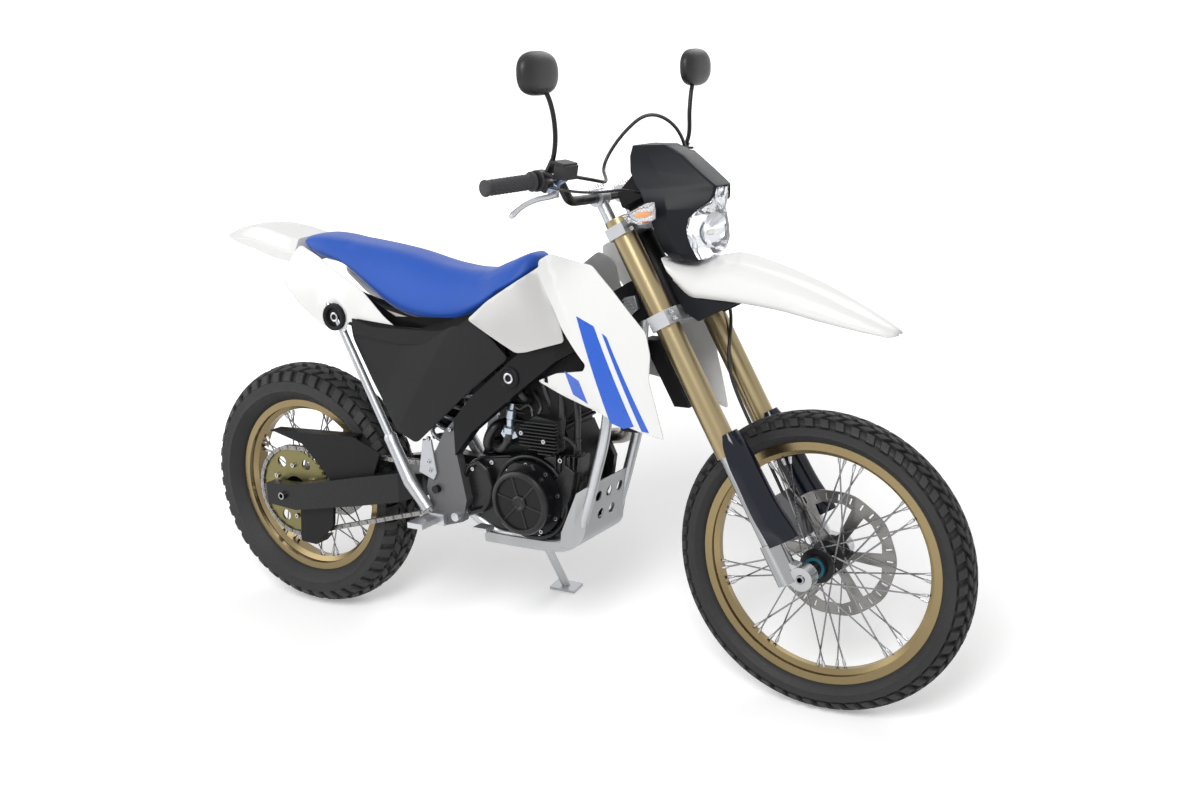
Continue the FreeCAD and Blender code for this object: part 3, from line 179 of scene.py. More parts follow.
def surface(name, colour, rough, metal=0.0, drift=0.14, grain=260.0, relief=0.12, coat=0.0,
            shine=0.5, uneven=0.22):
    """Finish on Object coordinates. A broad noise carries the colour from darker to lighter by the
    drift. A fine noise varies the roughness by the unevenness and raises a grain by the relief."""
    made = bpy.data.materials.new(name)
    made.use_nodes = True
    tree = made.node_tree
    shader = tree.nodes["Principled BSDF"]
    where = node(tree, "TexCoord").outputs["Object"]
    broad = node(tree, "TexNoise", Scale=9, Detail=6)
    fine = node(tree, "TexNoise", Scale=grain, Detail=3)
    tree.links.new(where, broad.inputs["Vector"])
    tree.links.new(where, fine.inputs["Vector"])
    tint = node(tree, "Mix")
    tint.data_type = "RGBA"
    tint.inputs["A"].default_value = (*(c * (1 - drift) for c in colour), 1)
    tint.inputs["B"].default_value = (*(min(1, c * (1 + drift)) for c in colour), 1)
    tree.links.new(broad.outputs["Fac"], tint.inputs["Factor"])
    tree.links.new(tint.outputs["Result"], shader.inputs["Base Color"])
    polish = node(tree, "MapRange", From_Min=0.3, From_Max=0.7, To_Min=rough * (1 - uneven),
                  To_Max=min(1, rough * (1 + uneven)))
    tree.links.new(fine.outputs["Fac"], polish.inputs["Value"])
    tree.links.new(polish.outputs["Result"], shader.inputs["Roughness"])
    bump = node(tree, "Bump", Strength=relief, Distance=0.0006)
    tree.links.new(fine.outputs["Fac"], bump.inputs["Height"])
    tree.links.new(bump.outputs["Normal"], shader.inputs["Normal"])
    shader.inputs["Metallic"].default_value = metal
    shader.inputs["Coat Weight"].default_value = coat
    shader.inputs["Specular IOR Level"].default_value = shine
    return made


def painted(finish, *parts):
    """One finish on every slot of the named CAD parts."""
    for part in parts:
        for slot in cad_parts[part].material_slots:
            slot.material = finish


BLACK_PAINT = surface("black_frame", (0.008, 0.008, 0.009), 0.4, relief=0.25, shine=0.16)
BLACK_ALLOY = surface("black_alloy", (0.007, 0.007, 0.008), 0.32, relief=0.15, shine=0.25)
SILVER_ALLOY = surface("silver", (0.50, 0.51, 0.53), 0.36, metal=0.85, relief=0.1)
GREY_CASTING = surface("grey_casting", (0.13, 0.13, 0.135), 0.5, metal=0.6, grain=500, relief=0.5)
painted(BLACK_PAINT, "main_frame", "rear_subframe", "fender_bracket")
painted(BLACK_ALLOY, "swingarm", "pivot_shaft")
painted(SILVER_ALLOY, "engine_cradle", "foot_controls", "footpegs", "side_stand")
painted(GREY_CASTING, "pivot_castings")


# --- Engine, exhaust and radiators ---
# Black painted castings of the single cylinder engine, bolted into the frame. A bare steel pipe,
# coloured by heat, runs back from it. Radiators, shock body and chain guards are matt black.

ENGINE_BLACK = surface("engine_black", (0.006, 0.006, 0.007), 0.34, relief=0.4, grain=420,
                       shine=0.2)
PIPE = surface("pipe", (0.38, 0.36, 0.33), 0.3, metal=1.0, drift=0.25)
BLACK_PLASTIC = surface("black_plastic", (0.009, 0.009, 0.010), 0.5, grain=900, relief=0.4,
                        shine=0.16)
painted(ENGINE_BLACK, "crankcase", "cylinder", "engine_covers")
painted(PIPE, "exhaust")
painted(BLACK_PLASTIC, "radiators", "rear_shock", "chain_guards")


# --- Rims, spokes, hubs, sprockets and calipers ---
# Gold anodised alloy rims laced to black hubs with bright steel wires, on steel axles. The drive
# sprocket is ground steel, the rear one olive anodised alloy, and the calipers are grey castings.

GOLD_RIM = surface("gold_rim", (0.24, 0.185, 0.095), 0.24, metal=0.95, drift=0.05, relief=0.0,
                   uneven=0.05)
WIRE = surface("wire", (0.26, 0.26, 0.27), 0.28, metal=1.0, relief=0.0)
GROUND_STEEL = surface("ground_steel", (0.23, 0.225, 0.215), 0.3, metal=1.0, relief=0.05,
                       grain=900)
OLIVE_ALLOY = surface("olive_alloy", (0.18, 0.16, 0.07), 0.36, metal=0.9)
painted(GOLD_RIM, "front_rim", "rear_rim")
painted(BLACK_ALLOY, "front_hub", "rear_hub")
painted(WIRE, "front_spokes", "rear_spokes", "front_axle", "rear_axle", "stand_pin")
painted(GROUND_STEEL, "drive_sprocket")
painted(OLIVE_ALLOY, "rear_sprocket")
painted(GREY_CASTING, "front_caliper", "rear_caliper")


# --- Fork, bars and instruments ---
# Upside-down fork: gold anodised upper tubes held by silver clamps, polished lower tubes that slide
# in them. The bar is black alloy, and a matt black instrument box sits ahead of it.

GOLD_FORK = surface("gold_fork", (0.33, 0.265, 0.15), 0.3, metal=0.95, relief=0.0, drift=0.04,
                    uneven=0.05)
CHROME = surface("chrome", (0.36, 0.365, 0.375), 0.2, metal=1.0, relief=0.0, uneven=0.05)
painted(GOLD_FORK, "fork_sliders")
painted(CHROME, "fork_legs")
painted(SILVER_ALLOY, "triple_clamps")
painted(BLACK_ALLOY, "handlebar")
painted(BLACK_PLASTIC, "instrument_cluster")


# --- Tyres ---
# Block tread tyres: a moulded rubber casing with fine ribs on its flanks, and rows of knobs over
# the crown that stand in turn: a paired middle row, a slanted row beside it, a deep shoulder row.

def grid_faces(rows, columns, close_rows=False, close_columns=False):
    """Quads of a grid of points, each direction joined round on request."""
    r = np.arange(rows if close_rows else rows - 1)
    c = np.arange(columns if close_columns else columns - 1)
    row, column = (a.ravel() for a in np.meshgrid(r, c, indexing="ij"))
    next_row, next_column = (row + 1) % rows, (column + 1) % columns
    return np.column_stack((row * columns + column, row * columns + next_column,
                            next_row * columns + next_column,
                            next_row * columns + column)).tolist()


def copied(faces, size, count):
    """Faces of one small shape numbered on for each of its copies, which have equal sizes."""
    return [[size * copy + k for k in face] for copy in range(count) for face in faces]


def merged(parts):
    """One list of points and one of faces from several pairs of them."""
    points, faces, start = [], [], 0
    for part_points, part_faces in parts:
        points.append(np.asarray(part_points, float).reshape(-1, 3))
        faces.extend([start + k for k in face] for face in part_faces)
        start += len(points[-1])
    return np.concatenate(points), faces


def piece(name, parts, body, paint, nodes=(), smooth=35, closed=True):
    """Object from one or several pairs of upright points and faces, riding on a body."""
    points, faces = merged(parts)
    mesh = bpy.data.meshes.new(name)
    mesh.from_pydata(stand(points).tolist(), [], faces)
    mesh.validate()
    if closed:
        work = bmesh.new()
        work.from_mesh(mesh)
        bmesh.ops.recalc_face_normals(work, faces=work.faces)
        work.to_mesh(mesh)
        work.free()
    mesh.polygons.foreach_set("use_smooth", np.ones(len(mesh.polygons), bool))
    mesh.set_sharp_from_angle(angle=math.radians(smooth))
    mesh.materials.append(paint)
    made = bpy.data.objects.new(name, mesh)
    bpy.context.scene.collection.objects.link(made)
    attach(made, body)
    if nodes:
        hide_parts(*nodes)
    return made


def lathe(profile, centre, steps=96, closed=False):
    """Turn of a profile of place across the machine and radius, about a line across it."""
    profile = np.asarray(profile, float)
    angles = np.linspace(0, 2 * np.pi, steps, endpoint=False)[:, None]
    points = np.stack((centre[0] + profile[:, 1] * np.cos(angles),
                       centre[1] + profile[:, 0] + 0 * angles,
                       centre[2] + profile[:, 1] * np.sin(angles)), -1)
    return points.reshape(-1, 3), grid_faces(steps, len(profile), True, closed)


def distance_run(line):
    """Distance along a line of points from its start to each of them."""
    steps = np.linalg.norm(np.diff(line, axis=0), axis=1)
    return np.concatenate(((0,), np.cumsum(steps)))


def tread_line(radius, width):
    """Knob tips from the middle to the flank: distances run, places, radii and outward normals.

    The radius falls from the middle by a share of the width that grows towards the edge."""
    share = np.array((0, 0.1, 0.17, 0.25, 0.33, 0.4, 0.45, 0.478, 0.492, 0.497))
    drop = np.array((0.012, 0.018, 0.03, 0.06, 0.105, 0.16, 0.21, 0.265, 0.33, 0.42))
    place, rad = share * width, radius - drop * width
    run = distance_run(np.column_stack((place, rad)))
    return run, place, rad, -np.gradient(rad, run), np.gradient(place, run)


def knobs(line, side, start, end, angles, half, skew, depth):
    """Knobs between two distances from the middle, one at each angle: three rings of six corners,
    wide in the casing, full at the chamfer and narrow on top, set on the tread line's normals."""
    run, place, rad, out_across, out_rad = line
    share = np.array((0, 0.5, 1, 1, 0.5, 0))
    turn = np.array((-1, -1, -1, 1, 1, 1))
    middle = (start + end) / 2
    rings = []
    for height, spread in ((-depth - 1.5, 1.12), (-1.6, 1.0), (0.0, 0.86)):
        at = middle + (start + (end - start) * share - middle) * spread
        across = np.interp(at, run, place) + np.interp(at, run, out_across) * height
        reach = np.interp(at, run, rad) + np.interp(at, run, out_rad) * height
        rings.append(np.column_stack((side * across, reach,
                                      turn * half * spread + skew * (share - 0.5))))
    across, reach, angle = np.concatenate(rings).T
    swing = angles[:, None] + angle
    points = np.stack((reach * np.sin(swing), np.broadcast_to(across, swing.shape),
                       reach * np.cos(swing)), -1).reshape(-1, 3)
    corners, rim = len(share), 2 * len(share)
    faces = grid_faces(3, corners, False, True)
    faces += [(rim, rim + 1, rim + 4, rim + 5), (rim + 1, rim + 2, rim + 3, rim + 4)]
    return points, copied(faces, 3 * corners, len(angles))


def tyre(name, cad_part, body, centre, radius, width, bead, seat_half, count, paint):
    """Casing turned from its section, and three rows of knobs on each side, count times round it.

    The section runs under the knobs, down the ribbed flank to the bead, and back inside."""
    line = tread_line(radius, width)
    depth, floor_points = 10.0, 8
    _, place, rad, out_across, out_rad = (values[:floor_points] for values in line)
    middle = (radius + bead) / 2
    section = np.concatenate((
        np.column_stack((place - out_across * depth, rad - out_rad * depth)),
        [(0.478 * width, middle + 0.10 * width), (0.483 * width, middle + 0.02 * width),
         (0.470 * width, middle - 0.07 * width), (0.478 * width, middle - 0.085 * width),
         (0.462 * width, middle - 0.11 * width), (seat_half + 13, bead + 21),
         (seat_half + 7, bead + 15.5), (seat_half + 1, bead + 14), (seat_half - 2, bead + 2)],
        [(seat_half - 9, bead + 14), (0.47 * width - 9, middle),
         (0.3 * width, radius - depth - 15), (0, radius - depth - 13)]))
    parts = [lathe(np.concatenate((section, section[-2:0:-1] * (-1, 1))), (0, 0, 0), 128, True)]
    pitch = 2 * np.pi / count
    gap = 0.38 * pitch
    turns = np.arange(count) * pitch
    for side, shift in ((-1, 0.5 * pitch), (1, 0)):
        for start, end, offset, half, skew, height in (
                (0.012, 0.155, 0, (pitch - gap) / 2, 0.35, depth),
                (0.19, 0.325, 0.5, (pitch - gap) / 2, -0.45, depth),
                (0.36, 0.60, 0, (pitch - 1.15 * gap) / 2, 0.2, depth - 2)):
            parts.append(knobs(line, side, start * width, end * width,
                               turns + shift + offset * pitch, half, skew * pitch, height))
    points, faces = merged(parts)
    piece(name, [(points + centre, faces)], body, paint, [cad_part], 38)


FRONT_AXLE = np.array((1500, 0, 347.7))
REAR_AXLE = np.array((0, 0, 340.6))
RUBBER = surface("tyre_rubber", (0.022, 0.022, 0.023), 0.6, drift=0.4, grain=380, relief=0.6,
                 shine=0.35)
tyre("front_tyre_tread", "front_tyre", "front_wheel", FRONT_AXLE, 347.7, 90, 266.7, 20.3, 58,
     RUBBER)
tyre("rear_tyre_tread", "rear_tyre", "rear_wheel", REAR_AXLE, 340.6, 140, 228.6, 31.75, 44,
     RUBBER)


# --- Chain ---
# Steel roller chain round both sprockets, in turn a pair of outer and of inner waisted side plates,
# joined by rollers on pins whose rivet heads stand proud.

def wrap_line(driven, drive, big, small):
    """Points close together along the pitch line round two sprockets: an arc on each, between the
    angles at which the straight runs leave them."""
    span = np.array(drive) - np.array(driven)
    tilt = math.atan2(span[1], span[0])
    leave = math.acos((big - small) / np.hypot(*span))
    rear = np.linspace(tilt + leave, tilt + 2 * math.pi - leave, 200)
    front = np.linspace(tilt - leave, tilt + leave, 80)
    return np.concatenate([np.column_stack((c[0] + r * np.cos(a), c[1] + r * np.sin(a)))
                           for c, r, a in ((driven, big, rear), (drive, small, front))])


def prism(flat, near, far):
    """Side-view outline carried straight across the machine between two places."""
    count = len(flat)
    faces = grid_faces(2, count, False, True)
    faces += [list(range(count)), list(range(2 * count - 1, count - 1, -1))]
    return np.concatenate([np.insert(flat, 1, y, axis=1) for y in (near, far)]), faces


def chain_links(drive, chain_line, pitch):
    """Plates, rollers and rivets placed pin by pin along the pitch line. A plate's outline is two
    round ends about its pins, drawn in between them."""
    line = wrap_line(REAR_AXLE[[0, 2]], drive, 121.4, 38.3)
    line = np.vstack((line, line[:1]))
    run = distance_run(line)
    count = 2 * round(run[-1] / pitch / 2)
    at = np.arange(count) * run[-1] / count
    pins = np.column_stack((np.interp(at, run, line[:, 0]), np.interp(at, run, line[:, 1])))
    angle = np.linspace(0, 2 * np.pi, 14, endpoint=False)
    reach = np.abs(np.cos(angle)) ** 0.7
    length = np.clip(np.sign(np.cos(angle)) * (7.9 * reach + 6.6), -14.2, 14.2)[:, None]
    height = (np.sin(angle) * 6.6 * (0.78 + 0.22 * reach))[:, None]
    turn = np.linspace(0, 2 * np.pi, 8, endpoint=False)
    ring = np.column_stack((np.cos(turn), np.sin(turn)))
    parts = []
    for n, (pin, after) in enumerate(zip(pins, np.roll(pins, -1, axis=0))):
        along = (after - pin) / np.hypot(*(after - pin))
        flat = (pin + after) / 2 + length * along + height * np.array((-along[1], along[0]))
        place = 6.6 if n % 2 else 4.2
        for side in (-1, 1):
            parts.append(prism(flat, chain_line + side * place, chain_line + side * (place + 1.9)))
        for radius, half in ((5.0, 4.0), (2.6, 9.4)):
            parts.append(prism(pin + ring * radius, chain_line - half, chain_line + half))
    return parts


CHAIN = surface("chain_steel", (0.24, 0.235, 0.23), 0.34, metal=1.0, drift=0.25)
DRIVE_SPROCKET = np.array((655, 440))
piece("chain_links", chain_links(DRIVE_SPROCKET, -84, 15.875), "chassis", CHAIN,
      ["drive_chain"], 30)


# --- The seat ---
# Long narrow foam seat under one matt blue cover, stretched tight: crowned top, sides that pull in,
# a rolled lower edge with a stitched seam above it, and a nose that climbs on to the tank.

PIVOT = np.array((534, 430))


def smooth_rows(stations, count):
    """Stations of numbers, the first of them the distance, resampled by a smooth cubic curve."""
    table = np.asarray(stations, float)
    at = np.linspace(table[0, 0], table[-1, 0], count)
    slopes = np.gradient(table, table[:, 0], axis=0)
    k = np.clip(np.searchsorted(table[:, 0], at) - 1, 0, len(table) - 2)
    gap = (table[k + 1, 0] - table[k, 0])[:, None]
    t = ((at - table[k, 0]) / gap[:, 0])[:, None]
    return ((2 * t ** 3 - 3 * t ** 2 + 1) * table[k] + (t ** 3 - 2 * t ** 2 + t) * gap * slopes[k]
            + (3 * t ** 2 - 2 * t ** 3) * table[k + 1] + (t ** 3 - t ** 2) * gap * slopes[k + 1])


def closed_loft(rings):
    """Points and faces of rings of equal counts, with both ends closed by their middle point."""
    rings = np.asarray(rings, float)
    rows, columns = rings.shape[:2]
    points = np.concatenate((rings.reshape(-1, 3), [rings[0].mean(0)], [rings[-1].mean(0)]))
    faces = grid_faces(rows, columns, False, True)
    first, last, base = rows * columns, rows * columns + 1, (rows - 1) * columns
    faces += [(first, (k + 1) % columns, k) for k in range(columns)]
    faces += [(last, base + k, base + (k + 1) % columns) for k in range(columns)]
    return points, faces


def seat_rings(shrink):
    """Cross-sections of the seat, a given distance inside its surface: squared circles whose half
    width runs from the lower to the upper one, pulled in at mid height and crowned on top."""
    forward, top, low, top_half, low_half = (column[:, None] for column in smooth_rows([
        (-459, 604, 590, 52, 66), (-440, 606, 576, 60, 74), (-298, 594, 534, 68, 106),
        (-134, 572, 430, 74, 121), (0, 543, 407, 74, 123), (69, 536, 417, 70, 121),
        (130, 541, 452, 66, 121), (180, 565, 488, 60, 119), (218, 584, 512, 55, 100),
        (236, 589, 528, 47, 82), (248, 585, 545, 38, 62), (253, 578, 556, 28, 44)], 64).T)
    turn = np.linspace(-np.pi / 2, 1.5 * np.pi, 40, endpoint=False)
    across, up = np.cos(turn), np.sin(turn)
    share = np.clip((np.sign(up) * np.abs(up) ** 0.62 + 1) / 2, 0, 1)
    pull = 1 - 0.05 * np.sin(share * np.pi)
    half = (low_half + (top_half - low_half) * share ** 1.5) * pull - shrink
    side = np.sign(across) * np.abs(across) ** 0.5 * half
    crown = 5 * np.maximum(up, 0) ** 3 - 3
    rise = (top + low) / 2 + (2 * share - 1) * ((top - low) / 2 - shrink) + crown
    return np.stack(np.broadcast_arrays(PIVOT[0] + forward, side, PIVOT[1] + rise), -1)


def swell(cushion, cap):
    """Cloth under slight pressure without gravity, its movement capped, kept as the mesh."""
    mesh = cushion.data
    before = np.empty(len(mesh.vertices) * 3)
    mesh.vertices.foreach_get("co", before)
    cloth = cushion.modifiers.new("cloth", "CLOTH")
    cloth.settings.use_pressure = True
    cloth.settings.uniform_pressure_force = 3
    cloth.settings.effector_weights.gravity = 0
    cloth.settings.tension_stiffness = 40
    cloth.settings.compression_stiffness = 40
    scene = bpy.context.scene
    for step in range(1, 16):
        scene.frame_set(step)
    shape = cushion.evaluated_get(bpy.context.evaluated_depsgraph_get()).data
    after = np.empty(len(mesh.vertices) * 3)
    shape.vertices.foreach_get("co", after)
    cushion.modifiers.remove(cloth)
    scene.frame_set(1)
    move = (after - before).reshape(-1, 3)
    reach = np.linalg.norm(move, axis=1, keepdims=True)
    move *= np.minimum(1, cap / np.maximum(reach, 1e-9))
    mesh.vertices.foreach_set("co", (before.reshape(-1, 3) + move).ravel())
    mesh.update()


def vinyl(name, colour):
    """Matt cover: the usual finish with a sheen, and leather-like cells raised over its grain."""
    made = surface(name, colour, 0.56, drift=0.1, grain=700, relief=0.35)
    tree = made.node_tree
    shader = tree.nodes["Principled BSDF"]
    shader.inputs["Sheen Weight"].default_value = 0.25
    shader.inputs["Sheen Roughness"].default_value = 0.4
    cells = node(tree, "TexVoronoi", Scale=420)
    grain = node(tree, "Bump", Strength=0.3, Distance=0.0005)
    tree.links.new(tree.nodes["Texture Coordinate"].outputs["Object"], cells.inputs["Vector"])
    tree.links.new(cells.outputs["Distance"], grain.inputs["Height"])
    tree.links.new(tree.nodes["Bump"].outputs["Normal"], grain.inputs["Normal"])
    tree.links.new(grain.outputs["Normal"], shader.inputs["Normal"])
    return made


SEAT_BLUE = vinyl("seat_blue", (0.006, 0.075, 0.42))
cushion = piece("seat_cushion", [closed_loft(seat_rings(3.5))], "chassis", SEAT_BLUE,
                ["seat"], 60)
swell(cushion, 0.004)
rounder = cushion.modifiers.new("subdivision", "SUBSURF")
rounder.levels = rounder.render_levels = 1


# --- Seams of the seat ---
# One row of blue thread on each side, sewn through the cover just above its lower edge: short
# stitches with a gap between them.

def rod(points, radius, sides=8):
    """Round bar along points, closed at both ends: circles square to the path, each turned on from
    the one before without twist."""
    path = np.asarray(points, float)
    along = np.gradient(path, axis=0)
    along /= np.linalg.norm(along, axis=1, keepdims=True)
    seed = np.array((0.31, 0.17, 0.93))
    if abs(along[0] @ seed) >= 0.9:
        seed = np.array((1.0, 0, 0))
    across = np.cross(along[0], seed)
    frames = []
    for direction in along:
        across = across - direction * (across @ direction)
        across /= np.linalg.norm(across)
        frames.append((across, np.cross(direction, across)))
    turn = np.linspace(0, 2 * np.pi, sides, endpoint=False)
    radii = np.broadcast_to(radius, len(path))
    return closed_loft([p + r * (np.outer(np.cos(turn), a) + np.outer(np.sin(turn), b))
                        for p, r, (a, b) in zip(path, radii, frames)])


def stitches(line, spacing, length, radius):
    """Short rods laid along a line at an even spacing."""
    run = distance_run(line)
    made = []
    for start in np.arange(4, run[-1] - 8, spacing):
        at = np.linspace(start, start + length, 4)
        made.append(rod(np.column_stack([np.interp(at, run, line[:, k]) for k in range(3)]),
                        radius, 5))
    return made


cover = seat_rings(-0.6)[3:58]
THREAD = surface("seam_thread", (0.012, 0.1, 0.5), 0.6, grain=1500, relief=0.4)
piece("seat_seams", stitches(cover[:, 7], 7.0, 4.6, 0.7) + stitches(cover[:, 33], 7.0, 4.6, 0.7),
      "chassis", THREAD)


# --- Tail ---
# White moulded tail unit, bolted under the seat's rear end: a pointed box with a ridge along each
# side, closed below.

def whole(x, y, z):
    """Half sections, one to a row, each followed by its mirror image in reverse. Columns on the
    middle plane aren't repeated."""
    half = np.stack(np.broadcast_arrays(x, y, z), -1)
    other = half[:, ::-1] * (1, -1, 1)
    return np.concatenate((half, other[:, other[0, :, 1] != 0]), axis=1)


def eased(made, width, angle):
    """Rounds the edges sharper than an angle by a width in millimetres."""
    soft = made.modifiers.new("bevel", "BEVEL")
    soft.width = width / 1000
    soft.segments = 2
    soft.limit_method = "ANGLE"
    soft.angle_limit = math.radians(angle)


WHITE = surface("white_plastic", (0.80, 0.80, 0.79), 0.24, drift=0.012, grain=40, relief=0.0,
                coat=0.3, uneven=0.04)
forward, low, high, half, top_half = smooth_rows([
    (-758, 588, 600, 34, 26), (-700, 577, 617, 58, 44), (-639, 566, 628, 67, 54),
    (-567, 548, 622, 76, 64), (-500, 538, 608, 83, 68), (-466, 534, 600, 86, 66)], 30).T
middle, tall = 0 * half, high - low
tail_rings = whole(PIVOT[0] + forward[:, None],
                   np.column_stack((middle, half * 0.82, half, half + 2, half - 3, top_half + 4,
                                    top_half, top_half - 10, middle)),
                   PIVOT[1] + np.column_stack((low, low, low + 4, low + tall * 0.42,
                                               low + tall * 0.5, high - 9, high - 3, high,
                                               high + 2)))
tail = piece("tail_cover", [closed_loft(tail_rings)], "chassis", WHITE,
             ["tail_unit"], 22)
eased(tail, 1.5, 25)


# --- Tail side covers ---
# White injection moulded covers of even thickness beside the tail, bolted over the subframe. Each
# swells round the strut's upper boss, with a round hole for it, and folds in at its upper edge.

def rounded(outline, radius):
    """Side-view outline with each corner turned into a short curve: a parabola between points that
    lie one radius from the corner."""
    corners = np.asarray(outline, float)
    points = []
    for before, corner, after in zip(np.roll(corners, 1, 0), corners, np.roll(corners, -1, 0)):
        into, away = before - corner, after - corner
        reach = min(radius, 0.4 * np.linalg.norm(into), 0.4 * np.linalg.norm(away))
        a = corner + into / np.linalg.norm(into) * reach
        b = corner + away / np.linalg.norm(away) * reach
        for t in (0, 0.25, 0.5, 0.75, 1):
            points.append((1 - t) ** 2 * a + 2 * t * (1 - t) * corner + t ** 2 * b)
    return np.array(points)


def taken(mesh):
    """Points and faces of a working mesh, which is then removed."""
    points = np.empty(len(mesh.vertices) * 3)
    mesh.vertices.foreach_get("co", points)
    faces = [list(face.vertices) for face in mesh.polygons]
    bpy.data.meshes.remove(mesh)
    return points.reshape(-1, 3), faces


def sheet(outline, depth, creases=(), spacing=18.0, holes=(), lift=0.0):
    """Right-hand sheet of a side-view outline: the depth gives how far to the right each point is.

    The outline's face is cut along a square net and along the creases, so that it bends there."""
    outline = np.asarray(outline, float)
    after = np.roll(outline, -1, 0)
    if (outline[:, 0] * after[:, 1] - after[:, 0] * outline[:, 1]).sum() < 0:
        outline = outline[::-1]
    work = bmesh.new()
    work.faces.new([work.verts.new((x, 0, z)) for x, z in outline])
    low, high = np.min(outline, axis=0), np.max(outline, axis=0)
    cuts = [((x, 0, 0), (1, 0, 0)) for x in np.arange(low[0] + spacing, high[0], spacing)]
    cuts += [((0, 0, z), (0, 0, 1)) for z in np.arange(low[1] + spacing, high[1], spacing)]
    cuts += [((x0, 0, z0), (z1 - z0, 0, x0 - x1)) for (x0, z0), (x1, z1) in creases]
    for place, normal in cuts:
        bmesh.ops.bisect_plane(work, geom=work.verts[:] + work.edges[:] + work.faces[:], dist=0.01,
                               plane_co=place, plane_no=normal)
    gone = {face for face in work.faces for x, z, r in holes
            if (face.calc_center_median() - Vector((x, 0, z))).length < r}
    bmesh.ops.delete(work, geom=list(gone), context="FACES")
    net = bpy.data.meshes.new("net")
    work.to_mesh(net)
    work.free()
    points, faces = taken(net)
    points[:, 1] = -depth(points[:, 0], points[:, 2]) - lift
    return points, faces


def opposite(part):
    """Mirror image of points and faces on the other side of the machine."""
    points, faces = part
    return points * (1, -1, 1), [face[::-1] for face in faces]


def walled(made, thickness):
    """Gives a sheet an even wall inwards, in millimetres."""
    wall = made.modifiers.new("wall", "SOLIDIFY")
    wall.thickness = thickness / 1000
    wall.offset = -1


def mouldings(name, right, paint, nodes):
    """A right-hand sheet and its mirror image, with an even wall and softened edges."""
    made = piece(name, [right, opposite(right)], "chassis", paint, nodes, 28, closed=False)
    walled(made, 3.5)
    eased(made, 1.2, 40)


def from_grid(stations, levels, depths):
    """Depth as a smooth surface through a three by three grid of values: the parabola through
    three places, taken along the machine and then up."""
    def parabola(at, places, values):
        total = 0
        for k in range(3):
            weight = 1
            for j in {0, 1, 2} - {k}:
                weight = weight * (at - places[j]) / (places[k] - places[j])
            total = total + values[k] * weight
        return total

    return lambda x, z: parabola(z, levels, [parabola(x, stations, row) for row in depths])


BOSS = (242, 846)
tail_depth = from_grid((40, 240, 450), (810, 920, 1030),
                       ((126, 134, 136), (120, 130, 134), (100, 120, 128)))


def tail_side_depth(x, z):
    """A crowned panel, swollen in a ring about the boss and tucked in above a slanted line."""
    away = np.hypot(x - BOSS[0], z - BOSS[1])
    tuck = np.maximum(0, z - (1000 - 0.55 * (x - 90))) * 0.25
    return tail_depth(x, z) + 9 * np.exp(-((away - 44) / 16) ** 2) - tuck


tail_side = PIVOT + np.array([
    (-475, 486), (-418, 435), (-358, 396), (-300, 384), (-262, 378), (-249, 408), (-180, 398),
    (-98, 396), (-142, 424), (-184, 460), (-222, 491), (-304, 531), (-364, 565), (-426, 590),
    (-468, 534)])
mouldings("tail_side_panels", sheet(rounded(tail_side, 12), tail_side_depth, spacing=14,
                                    holes=((*BOSS, 34),)), WHITE, ["tail_side_covers"])


# --- Side panels ---
# Matt black moulded panels under the seat, clipped to the frame: a flat upper field and a lower one
# that meet in a slanted crease.

MATT_BLACK = surface("matt_black_plastic", (0.011, 0.011, 0.012), 0.46, drift=0.2, grain=1100,
                     relief=0.6, shine=0.18)
black_depth = from_grid((260, 500, 800), (530, 700, 880),
                        ((150, 154, 150), (144, 154, 152), (136, 140, 136)))


def side_panel_depth(x, z):
    """Panel that rises slowly ahead of a slanted line and drops by up to 10 mm behind it."""
    fold = (x - 425) * 0.83 - (z - 572) * 0.56
    return black_depth(x, z) - 10 * np.clip(-fold / 90, 0, 1) + 0.02 * np.maximum(0, fold) - 4


side_panel = PIVOT + np.array([
    (-249, 362), (-180, 246), (-109, 142), (-48, 115), (58, 204), (112, 252), (241, 352),
    (130, 446), (84, 418), (-11, 403), (-98, 402), (-200, 408), (-262, 440)])
mouldings("black_side_panels", sheet(rounded(side_panel, 14), side_panel_depth, creases=(
    ((425, 572), (517, 708)), ((517, 708), (600, 830)))), MATT_BLACK, ["side_panels"])


# --- Flank covers ---
# Pearl grey moulded covers below the tank's rear, bolted to the frame, with a shallow scoop that
# slants across them.

PEARL = surface("pearl_grey", (0.52, 0.515, 0.505), 0.3, metal=0.2, drift=0.03, grain=900,
                relief=0.03, coat=0.3, uneven=0.08)
flank_depth = from_grid((640, 790, 950), (780, 880, 1020),
                        ((152, 153, 154), (144, 153, 154), (124, 128, 132)))


def flank_panel_depth(x, z):
    """A crowned panel, less a scoop of up to 8 mm along a slanted line, which fades out below."""
    scoop = np.maximum(0, 1 - np.abs((x - 884) * 0.5 + (z - 930) * 0.28) / 26)
    return flank_depth(x, z) - 8 * scoop * np.clip((z - 850) / 30, 0, 1)


flank = PIVOT + np.array([
    (128, 437), (268, 368), (296, 372), (398, 402), (403, 408), (378, 496), (366, 550),
    (331, 572), (284, 542), (189, 485)])
mouldings("pearl_flank_panels", sheet(rounded(flank, 10), flank_panel_depth, creases=(
    ((866, 982), (884, 900)), ((884, 900), (929, 832)))), PEARL, ["flank_covers"])


# --- Shrouds ---
# Long white moulded blades, bolted at the tank, that run forward past the radiators and taper back
# below them. Each is creased from its upper edge to its lower tip.

HEAD = np.array((1152.16, 882.11))
CREASE = ((939, 932), (1059, 672))
blade_depth = from_grid((830, 1000, 1210), (620, 830, 1050),
                        ((160, 170, 164), (160, 176, 170), (132, 152, 150)))


